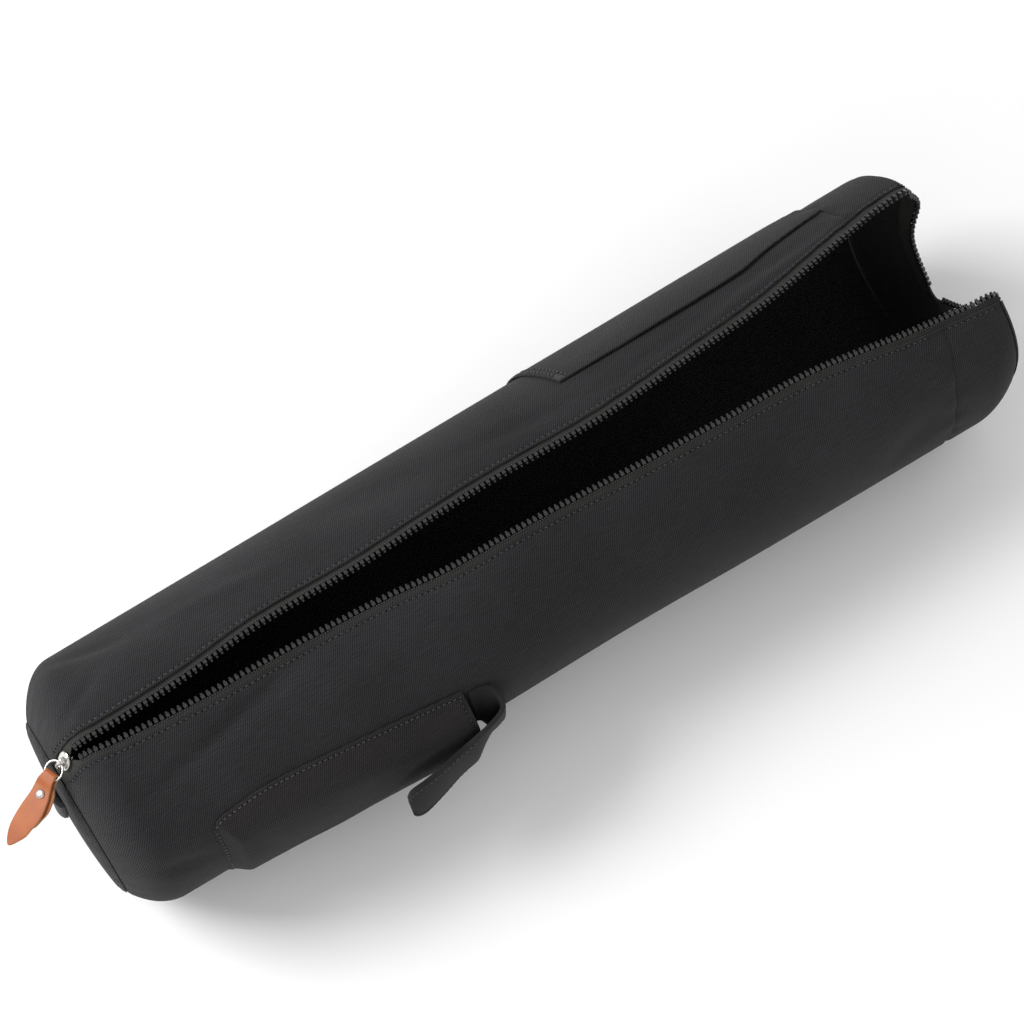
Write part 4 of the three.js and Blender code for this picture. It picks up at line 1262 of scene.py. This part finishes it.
outer, flat = pocket_grid(0.0)
inner, _ = pocket_grid(pocket_wall)
side_pocket = cloth("side_pocket_canvas", outer, inner, flat, 0.6)
finish_piece(side_pocket, pocket_cloth, "canvas", "side_pocket")

# %% Stitches on the gusseted pocket
pocket_stitch_pitch = 3.7


def on_pocket(along, angle, lift=0.1):
    """A line over the pocket's face, with its directions."""
    x = closed_seam + pocket_start + along * pocket_length
    across = (angle - upper_edge(along)) / (pocket_low_angle - upper_edge(along))
    rise = pocket_height(along, across, x, angle) + sewn_gap + lift
    return line_with_sides(surface(x, angle, -rise), surface(x, angle, -rise - 1))


run = np.linspace(0.02, 0.985, 90)
flange_turn = float(np.degrees(flange_width * 0.55 / (closed_width / 2)))
mouth_share = 1 - 3.2 / pocket_length
round_run = np.linspace(float(upper_edge(1.0)) + 2, pocket_low_angle - 2, 40)
end_run = np.linspace(float(upper_edge(0.0)) + 2, pocket_low_angle - 2, 40)
pocket_seams = [
    on_pocket(run, upper_edge(run) + flange_turn),
    on_pocket(run, pocket_low_angle - flange_turn + 0 * run),
    on_pocket(np.full(40, flange_width * 0.55 / pocket_length), end_run),
    on_pocket(np.full(40, mouth_share), round_run),
]
pocket_stitches = repeats("pocket_stitches", pocket_seams, topstitch, pocket_stitch_pitch, thread, 6, 11)
finish_piece(pocket_stitches, thread, "canvas")

# %% [markdown]
# ## The tongue beside the pocket
# A stiff strap of doubled cloth starts beside the pocket's mouth, arches out and folds back over
# the pocket. It follows a path in the plane across the bag's face. In the arch the lower edges of
# both its legs lean to each other, as in a strap that is pulled round a corner, so the eye looks
# into a dark fold.
# Its rounded end comes from widths that shrink like a circle.

# %% Tongue
flap_width = 37
flap_thickness = 3
flap_path = [
    dict(at=0, run=0.022, off=0.00, angle=79),
    dict(at=1, run=0.070, off=0.03, angle=79),
    dict(at=2, run=0.104, off=0.25, angle=80),
    dict(at=3, run=0.118, off=0.60, angle=82),
    dict(at=4, run=0.100, off=0.98, angle=84),
    dict(at=5, run=0.050, off=1.20, angle=85),
    dict(at=6, run=-0.030, off=1.36, angle=86),
    dict(at=7, run=-0.120, off=1.50, angle=87),
    dict(at=8, run=-0.210, off=1.72, angle=87),
    dict(at=9, run=-0.285, off=1.84, angle=87),
    dict(at=10, run=-0.328, off=1.82, angle=87),
    dict(at=11, run=-0.350, off=1.76, angle=87),
]
flap_steps = np.concatenate([np.linspace(0, 8.5, 70)[:-1], np.linspace(8.5, 11, 30)])
flap_across = np.linspace(-1, 1, 25)
tip_start = 9.0
arch_curl = 0.5
arch_drop = 0.4
root_drop = 1.2
arch_fill = 5.0
tip_roll = 4.5
mouth_x = closed_seam + pocket_start + pocket_length


def flap_points(steps, across, side, inset=0.0):
    """Points on the tongue: side 1 is its outer face and -1 its inner one."""
    x = mouth_x + reader(flap_path, "run")(steps) * pocket_length
    off = sewn_gap + flap_thickness / 2 + reader(flap_path, "off")(steps) * pocket_depth_mouth
    run_x, run_off = np.gradient(x, steps), np.gradient(off, steps)
    length = np.hypot(run_x, run_off)
    x = x - run_off / length * side * flap_thickness / 2
    off = off + run_x / length * side * flap_thickness / 2
    tip = np.clip((steps - tip_start) / (11.12 - tip_start), 0, 1)
    width = flap_width * np.sqrt(1 - tip**2) - 2 * inset
    half_turn = np.degrees(np.maximum(width, 0.5) / 2 / (section(x)["half"] + off))[:, None]
    arch = (smooth(0.8, 2.6, steps) * smooth(6.3, 4.9, steps))[:, None]
    root = (smooth(0.0, 1.4, steps) * smooth(4.2, 2.4, steps))[:, None]
    turned = across[None, :] + (arch_drop * arch + root_drop * root) * np.maximum(across, 0)[None, :]
    angle = reader(flap_path, "angle")(steps)[:, None] + turned * half_turn
    low_side = ((across + 1) / 2)[None, :]
    first_leg = (smooth(0.3, 1.2, steps) * smooth(2.8, 1.6, steps))[:, None]
    back_leg = (smooth(2.4, 3.6, steps) * smooth(6.3, 4.9, steps))[:, None]
    curl = 1 - arch_curl * back_leg * low_side
    close = sewn_gap + flap_thickness / 2
    rolled_out = (tip_roll * smooth(6.5, 10.0, steps)[:, None] + arch_fill * first_leg) * low_side
    return surface(x[:, None], angle, -(close + (off[:, None] - close) * curl + rolled_out))


flap_run = flap_steps[:, None] * 9.0
flap_flat = np.stack(np.broadcast_arrays(flap_run, flap_across[None, :] * flap_width / 2), -1)
outer = flap_points(flap_steps, flap_across, 1)
inner = flap_points(flap_steps, flap_across, -1)
tongue = cloth("pocket_tongue", outer, inner, flap_flat, 1.25)
finish_piece(tongue, lining, "canvas", "pocket_flap")

# %% Stitches round the tongue
tongue_inset = 2.4
seam_runs = [(-1, np.linspace(6.2, 10.6, 60)), (1, np.linspace(6.8, 10.6, 60))]
tongue_seams = []
for edge_side, stitch_steps in seam_runs:
    for face in (-1, 1):
        low = flap_points(stitch_steps, np.array([edge_side]), face, tongue_inset)[:, 0]
        middle = flap_points(stitch_steps, np.array([edge_side]), -face, tongue_inset)[:, 0]
        outward_side = unit(low - middle)
        line = low + outward_side * 0.05
        direction = unit(np.gradient(line, axis=0))
        tongue_seams.append((line, outward_side, unit(np.cross(outward_side, direction))))
tongue_stitches = repeats("tongue_stitches", tongue_seams, topstitch, 3.6, thread, 4, 13)
finish_piece(tongue_stitches, thread, "canvas")

# %% [markdown]
# ## The flat pocket on the far side
# This pocket is one layer of canvas laid on the bag, sewn at its end and caught in the band's seam.
# Its upper edge is open and gapes a little, and the dark line under that edge is what shows it.

# %% Flat pocket
patch_length = 222
patch_low_angle = 112
patch_wall = 1.6
patch_gape = 1.6
gape_reach = 0.4
patch_mouth = [
    dict(at=0.00, angle=33.5),
    dict(at=0.62, angle=34.0),
    dict(at=0.77, angle=39.0),
    dict(at=1.00, angle=45.0),
]
mouth_angle = reader(patch_mouth, "angle")


def on_patch(share, column, lift):
    """Points over the flat pocket: share runs along it and column down from its mouth."""
    angle = -blend(mouth_angle(share), patch_low_angle, column)
    end = band_seam_at(angle) - sewn_gap
    x = end - patch_length * (1 - share)
    gape = patch_gape * np.sin(math.pi * share) * np.maximum(0, 1 - column / gape_reach) ** 1.5
    wave = 0.35 * np.sin(share * 23 + column * 4) * np.exp(-column / 0.12) * np.sin(math.pi * share)
    return x, angle, surface(x, angle, -sewn_gap - gape - wave * 0.5 - 0.25 - lift)


def patch_grid(lift):
    """The flat pocket's face at a height over the bag."""
    share = np.linspace(0, 1, 120)[:, None]
    column = np.concatenate([np.linspace(0, 0.12, 14)[:-1], np.linspace(0.12, 1, 56)])[None, :]
    x, angle, points = on_patch(share, column, lift)
    return points, np.stack([x, np.radians(angle) * 90], -1)


outer, flat = patch_grid(patch_wall)
inner, _ = patch_grid(0.0)
patch = cloth("patch_pocket_canvas", outer, inner, flat, 0.6)
finish_piece(patch, canvas, "canvas", "patch_pocket")

# %% Stitches on the flat pocket
patch_inset = 3.0


def patch_seam(share, column):
    """A line over the flat pocket's face, with its directions."""
    low = on_patch(share, column, patch_wall + 0.08)[2]
    high = on_patch(share, column, patch_wall + 1.08)[2]
    return line_with_sides(low, high)


columns = np.linspace(0.03, 0.98, 50)
lengths = np.linspace(0.02, 0.98, 80)
bar = np.linspace(0.0, 0.045, 8)
patch_seams = [
    patch_seam(np.full(50, patch_inset / patch_length), columns),
    patch_seam(np.full(50, 2.4 * patch_inset / patch_length), columns),
    patch_seam(lengths, np.full(80, 0.975)),
]
tacks = [patch_seam(np.full(8, 0.003 + step * 0.0045), 0.01 + bar) for step in range(5)]
stitches = repeats("patch_stitches", patch_seams, topstitch, 4.0, thread, 5, 17)
finish_piece(stitches, thread, "canvas")
tack = repeats("patch_bar_tack", tacks, fine_stitch, 1.1, pale_thread, 5, 19)
finish_piece(tack, pale_thread, "canvas")

# %% [markdown]
# ## The loop on the closed end
# A short piece of webbing stands out from the closed end, folded into an arch. It is a narrow band
# of doubled cloth with ribs along it, and its cut ends are caught against the panel.

# %% Webbing loop
loop_span = 15
loop_stand = 4.5
loop_webbing = 22
loop_wall = 1.8
loop_height = 100
loop_side = 0.5


def closed_end_at(y, z):
    """The closed end's outer face at a place across it."""
    shape = section(closed_seam)
    share = np.minimum(1, np.hypot(y / shape["half"], (z - shape["middle"]) / shape["rise"]))
    return closed_seam - sewn_gap - canvas_wall - closed_dome * (1 - share**dome_fullness)


def loop_grid(thickness):
    """The loop's outer face, or the face some thickness inside it."""
    turn = np.linspace(0, math.pi, 40)[:, None]
    height = np.linspace(-loop_webbing / 2, loop_webbing / 2, 17)[None, :]
    rib = 0.12 * np.cos(height * 2 * math.pi / 2.75) * (1 if thickness == 0 else 0)
    y = -loop_side + (loop_span / 2 - thickness + rib) * np.cos(turn)
    z = loop_height + height + 0 * turn
    x = closed_end_at(y, z) - sewn_gap - (loop_stand - thickness + rib) * np.sin(turn) ** 0.8
    flat = np.stack(np.broadcast_arrays(turn * 9, height), -1)
    return np.stack(np.broadcast_arrays(x, y, z), -1), flat


outer, flat = loop_grid(0.0)
loop = cloth("end_loop_webbing", outer, loop_grid(2 * loop_wall)[0], flat, 0.3)
finish_piece(loop, webbing, "webbing", "end_loop")

# %% [markdown]
# ## Slider, ring and rivet
# The slider sits where the two rows of teeth part. It has two plates joined by a neck, and an
# arched bail that holds a thin ring. Each part is a small solid with rounded edges, built in the
# slider's own frame: forward to the closed end, across to the near side and out of the bag.

# %% The slider's frame
slider_angle = -2.3
slider_width = 10.5
slider_plate = 1.6
slider_clearance = 0.4
bail_width = 2.4
bail_bar = 1.3
bail_room = 2.6
bail_forward = 1.5


def slider_frame():
    """The slider's place and its three directions."""
    x, step, depth = closed_seam + slider_setback, 0.5, canvas_wall + sewn_gap
    origin = surface(x, slider_angle, depth)
    forward = unit(surface(x - step, slider_angle, depth) - surface(x + step, slider_angle, depth))
    across = unit(surface(x, slider_angle + step, depth) - surface(x, slider_angle - step, depth))
    out = unit(np.cross(forward, across))
    return origin, forward, np.cross(out, forward), out


def place_in_frame(mesh, origin, first, second, third):
    """Moves an open mesh from its own frame into the bag's."""
    turn = Matrix(np.stack([first, second, third], 1).tolist()).to_4x4()
    turn.translation = Vector(origin) * MM
    bmesh.ops.transform(mesh, matrix=turn, verts=mesh.verts)


def metal_piece(name, mesh, *nodes):
    """Finishes a small metal solid."""
    bmesh.ops.recalc_face_normals(mesh, faces=mesh.faces)
    data = bpy.data.meshes.new(name)
    mesh.to_mesh(data)
    mesh.free()
    return finish_piece(shade(add_object(name, data), 42), nickel, "nickel", *nodes)


slider_origin, forward, across, out = slider_frame()
print("slider at", np.round(slider_origin, 1))


# %% Slider
def plate_outline(length, width, count=40):
    """The outline of a slider's plate: round in front, narrower behind."""
    turn = np.linspace(0, 2 * math.pi, count, endpoint=False)
    taper = 1 - 0.05 * np.cos(turn)
    square = np.abs(np.cos(turn)) ** 0.85 * np.sign(np.cos(turn))
    return np.stack([square * length / 2, np.sin(turn) * width / 2 * taper], -1)


def add_plate(mesh, low, high, length, width, crown):
    """A plate with rounded edges between two heights, a little domed on its outer face."""
    levels = [(low, 0.90), (low + 0.25, 0.985), (high - 0.45, 1.0), (high - 0.12, 0.95), (high, 0.86)]
    rings = []
    for height, grow in levels:
        ring = plate_outline(length * grow, width * grow)
        rings.append([mesh.verts.new((*(p * MM), height * MM)) for p in ring])
    for lower, upper in zip(rings, rings[1:]):
        for i in range(len(lower)):
            j = (i + 1) % len(lower)
            mesh.faces.new((lower[i], lower[j], upper[j], upper[i]))
    for ring, height in ((rings[0], low), (rings[-1], high + crown)):
        centre = mesh.verts.new((0, 0, height * MM))
        for i in range(len(ring)):
            mesh.faces.new((ring[i], ring[(i + 1) % len(ring)], centre))


def add_bail(mesh, foot, top):
    """An arched bar over the plate: a flat loop of rounded section."""
    path = [
        (-3.6, foot), (-3.4, top - 1.0), (-2.2, top), (1.0, top + 0.2),
        (3.9, top), (5.4, top - 1.1), (5.7, foot),
    ]
    smooth_path = [reader([dict(at=i, v=p[axis]) for i, p in enumerate(path)], "v")(np.linspace(0, 6, 31))
                   for axis in (0, 1)]
    line = np.stack(smooth_path, -1)
    run = unit(np.gradient(line, axis=0))
    rings = []
    for point, step in zip(line, run):
        side = np.array([-step[1], step[0]])
        ring = []
        for turn in np.linspace(0, 2 * math.pi, 16, endpoint=False):
            flat = math.copysign(abs(math.cos(turn)) ** 0.6, math.cos(turn)) * bail_width / 2
            lift = math.copysign(abs(math.sin(turn)) ** 0.7, math.sin(turn)) * bail_bar / 2
            spot = point + side * lift
            ring.append(mesh.verts.new((spot[0] * MM, flat * MM, spot[1] * MM)))
        rings.append(ring)
    for lower, upper in zip(rings, rings[1:]):
        for i in range(16):
            j = (i + 1) % 16
            mesh.faces.new((lower[i], lower[j], upper[j], upper[i]))
    mesh.faces.new(rings[0][::-1])
    mesh.faces.new(rings[-1])


plate_top = slider_clearance + slider_plate
under = tape_thickness + slider_clearance
slider = bmesh.new()
add_plate(slider, slider_clearance, plate_top, slider_length, slider_width, 0.35)
add_plate(slider, -under - slider_plate, -under, slider_length - 5, slider_width - 3, 0.0)
neck_size = (4, 2.6, plate_top + under + 0.6)
neck_place = (-slider_length / 4, 0, (plate_top - under) / 2 - 0.3)
rounded_box(slider, neck_size, neck_place, 0.3)
add_bail(slider, plate_top - 0.6, plate_top + bail_room + bail_bar / 2)
place_in_frame(slider, slider_origin, forward, across, out)
metal_piece("slider_body", slider, "zip_slider")

# %% Ring
ring_radius = 6.1
ring_wire = 0.7
ring_turn = 8
ring_dip = 22
pull_turn = 25
fold_width = 9.2
fold_room = 0.35


def direction_out(turn, dip):
    """A direction towards the closed end, turned to the near side and dipped below level."""
    turn, dip = math.radians(turn), math.radians(dip)
    return np.array([-math.cos(turn) * math.cos(dip), -math.sin(turn) * math.cos(dip), -math.sin(dip)])


hanging_from = slider_origin + forward * bail_forward + out * (plate_top + bail_room / 2)
ring_out = direction_out(ring_turn, ring_dip)
ring_centre = hanging_from + ring_out * ring_radius
ring_normal = unit(np.cross(ring_out, across))
ring_aside = np.cross(ring_normal, ring_out)

ring = bmesh.new()
ring_sides = 64
wire_sides = 12
turns = np.linspace(0, 2 * math.pi, ring_sides, endpoint=False)
wire_turns = np.linspace(0, 2 * math.pi, wire_sides, endpoint=False)
loops = []
for turn in turns:
    spoke = ring_out * math.cos(turn) + ring_aside * math.sin(turn)
    centre = ring_centre + spoke * ring_radius
    wire_loop = []
    for wire_turn in wire_turns:
        beside_wire = spoke * math.cos(wire_turn) + ring_normal * math.sin(wire_turn)
        wire_loop.append(ring.verts.new(Vector((centre + ring_wire * beside_wire) * MM)))
    loops.append(wire_loop)
for i in range(len(loops)):
    here, after = loops[i], loops[(i + 1) % len(loops)]
    for j in range(wire_sides):
        ring.faces.new((here[j], after[j], after[(j + 1) % wire_sides], here[(j + 1) % wire_sides]))
metal_piece("pull_ring_wire", ring, "pull_ring")

# %% [markdown]
# ## The leather pull
# One strip of leather goes through the ring and is folded back on itself, and a rivet holds the two
# leaves. The front leaf is longer and shaped like a leaf of a tree. The strip is a grid along its
# fold, with an attribute on its cut edges, which the leather's material turns into pale raw fibres.

# %% Path of the leather strip
pull_length = 49.5
pull_width = 17
back_leaf_share = 0.8
back_leaf_side = 1.2
leather_thickness = 1.6
leaf_gap = 0.3
leaf_outline = [
    dict(at=0.00, left=0.27, right=0.27),
    dict(at=0.12, left=0.35, right=0.32),
    dict(at=0.28, left=0.33, right=0.48),
    dict(at=0.50, left=0.38, right=0.58),
    dict(at=0.67, left=0.39, right=0.50),
    dict(at=0.80, left=0.35, right=0.42),
    dict(at=0.90, left=0.25, right=0.25),
    dict(at=0.97, left=0.13, right=0.11),
    dict(at=1.00, left=0.04, right=0.02),
]
aim = direction_out(pull_turn, ring_dip)
pull = unit(aim - ring_normal * (aim @ ring_normal))
fold_distance = math.sqrt((ring_radius - ring_wire) ** 2 - (fold_width / 2) ** 2) + ring_wire
fold = ring_centre + pull * fold_distance
face = ring_normal if ring_normal[2] > 0 else -ring_normal
along_fold = unit(np.cross(face, pull))
sideways = math.copysign(1, along_fold[1])
wire_reach = ring_radius + ring_wire + fold_room - fold_distance
middle_radius = ring_wire + fold_room + leather_thickness / 2
print("fold of the leather at", np.round(fold, 1))


# %% Leather strip
def leaf_rows(side, length):
    """Rows down one leaf: distance, height over the middle plane, share and side shift."""
    share = np.concatenate([np.linspace(0.03, 0.9, 44), np.linspace(0.915, 1, 12)])
    down = share * length
    ease = smooth(wire_reach, wire_reach + 3 * middle_radius, down)
    closing = leaf_gap / 2 + leather_thickness / 2
    curl = 0.5 * np.sin(math.pi * share) * ease * (1 if side > 0 else -0.3)
    height = side * blend(middle_radius, closing, ease) + curl
    shift = back_leaf_side * ease if side < 0 else 0 * ease
    return np.stack([down, height, share, shift], -1)


bend = np.radians(np.linspace(-90, 90, 15))
bend_rows = np.stack([-middle_radius * np.cos(bend), middle_radius * np.sin(bend), 0 * bend, 0 * bend], -1)
back_leaf = leaf_rows(-1, pull_length * back_leaf_share)[::-1]
strip = np.concatenate([back_leaf, bend_rows, leaf_rows(1, pull_length)])
across_shares = np.array([0, 0.03, 0.07, 0.13, 0.22, 0.34, 0.5, 0.66, 0.78, 0.87, 0.93, 0.97, 1.0])
left, right = reader(leaf_outline, "left"), reader(leaf_outline, "right")


def strip_grid(offset):
    """One face of the leather strip."""
    step = np.gradient(strip[:, :2], axis=0)
    step = step / np.linalg.norm(step, axis=1, keepdims=True)
    down = strip[:, 0] - step[:, 1] * offset
    height = strip[:, 1] + step[:, 0] * offset
    low, high = -right(strip[:, 2]) * pull_width, left(strip[:, 2]) * pull_width
    edge = blend(low[:, None], high[:, None], across_shares[None, :]) - strip[:, 3][:, None]
    thin = 0.12 * np.sign(offset) * (np.abs(across_shares * 2 - 1) ** 8)[None, :]
    return (
        fold
        + pull * down[:, None, None]
        + face * (height[:, None, None] - thin[..., None])
        + along_fold * (edge * sideways)[..., None]
    )


strip_run = run_length(strip[:, :2])[:, None]
leather_flat = np.stack(np.broadcast_arrays(strip_run, across_shares[None] * pull_width), -1)
strip_face = strip_grid(leather_thickness / 2)
strip_back = strip_grid(-leather_thickness / 2)
leather_pull = cloth("leather_pull_strip", strip_face, strip_back, leather_flat, 0.0)
mesh = bmesh.new()
mesh.from_mesh(leather_pull.data)
rim_edges = [edge for edge in mesh.edges if edge.calc_face_angle(0) > math.radians(55)]
bmesh.ops.bevel(mesh, geom=rim_edges, offset=0.35 * MM, segments=2, profile=0.6, affect="EDGES")
bmesh.ops.recalc_face_normals(mesh, faces=mesh.faces)
mesh.to_mesh(leather_pull.data)
mesh.free()
shade(leather_pull, 60)
print("leather faces:", len(leather_pull.data.polygons))

# %% Cut edges of the leather
edge_attribute = leather_pull.data.attributes.new("cut_edge", "FLOAT", "CORNER")
values = np.zeros(len(leather_pull.data.loops), np.float32)
for polygon in leather_pull.data.polygons:
    facing = abs(polygon.normal.dot(Vector(face)))
    bending = abs(polygon.normal.dot(Vector(pull)))
    on_side = abs(polygon.normal.dot(Vector(along_fold))) > 0.6
    on_tip = bending > 0.6 and (Vector(polygon.center) / MM - Vector(fold)).dot(Vector(pull)) > 10
    if facing < 0.62 and (on_side or on_tip):
        values[list(polygon.loop_indices)] = 1
edge_attribute.data.foreach_set("value", values)
finish_piece(leather_pull, leather, "tan_leather", "leather_pull")

# %% Rivet
rivet_setback = 12.6
rivet_side = 1.4
rivet_radius = 2.9
rivet_shank = 1.4
rivet_head = 1.1
stack = 2 * leather_thickness + leaf_gap
head_base = stack / 2 + 0.5
rivet_profile = [
    (rivet_shank, 0), (rivet_shank, head_base), (rivet_radius * 0.93, head_base),
    (rivet_radius, head_base + 0.25), (rivet_radius * 0.97, head_base + 0.55),
    (rivet_radius * 0.82, head_base + 0.95), (rivet_radius * 0.55, head_base + rivet_head + 0.1),
    (rivet_radius * 0.25, head_base + rivet_head + 0.2),
]
rivet_place = fold + pull * rivet_setback - along_fold * rivet_side * sideways
full_profile = [(r, -h) for r, h in rivet_profile[:0:-1]] + rivet_profile
rivet = bmesh.new()
rivet_sides = 28
turns = np.linspace(0, 2 * math.pi, rivet_sides, endpoint=False)
rings = []
for radius, height in full_profile:
    rim = []
    for turn in turns:
        place = (radius * math.cos(turn) * MM, radius * math.sin(turn) * MM, height * MM)
        rim.append(rivet.verts.new(place))
    rings.append(rim)
for lower, upper in zip(rings, rings[1:]):
    for i in range(rivet_sides):
        j = (i + 1) % rivet_sides
        rivet.faces.new((lower[i], lower[j], upper[j], upper[i]))
for rim, height in ((rings[0], -head_base - rivet_head - 0.25), (rings[-1], head_base + rivet_head + 0.25)):
    centre = rivet.verts.new((0, 0, height * MM))
    for i in range(rivet_sides):
        rivet.faces.new((rim[i], rim[(i + 1) % rivet_sides], centre))
place_in_frame(rivet, rivet_place, pull, np.cross(face, pull), face)
metal_piece("pull_rivet_head", rivet, "pull_rivet")

# %% [markdown]
# ## Closing
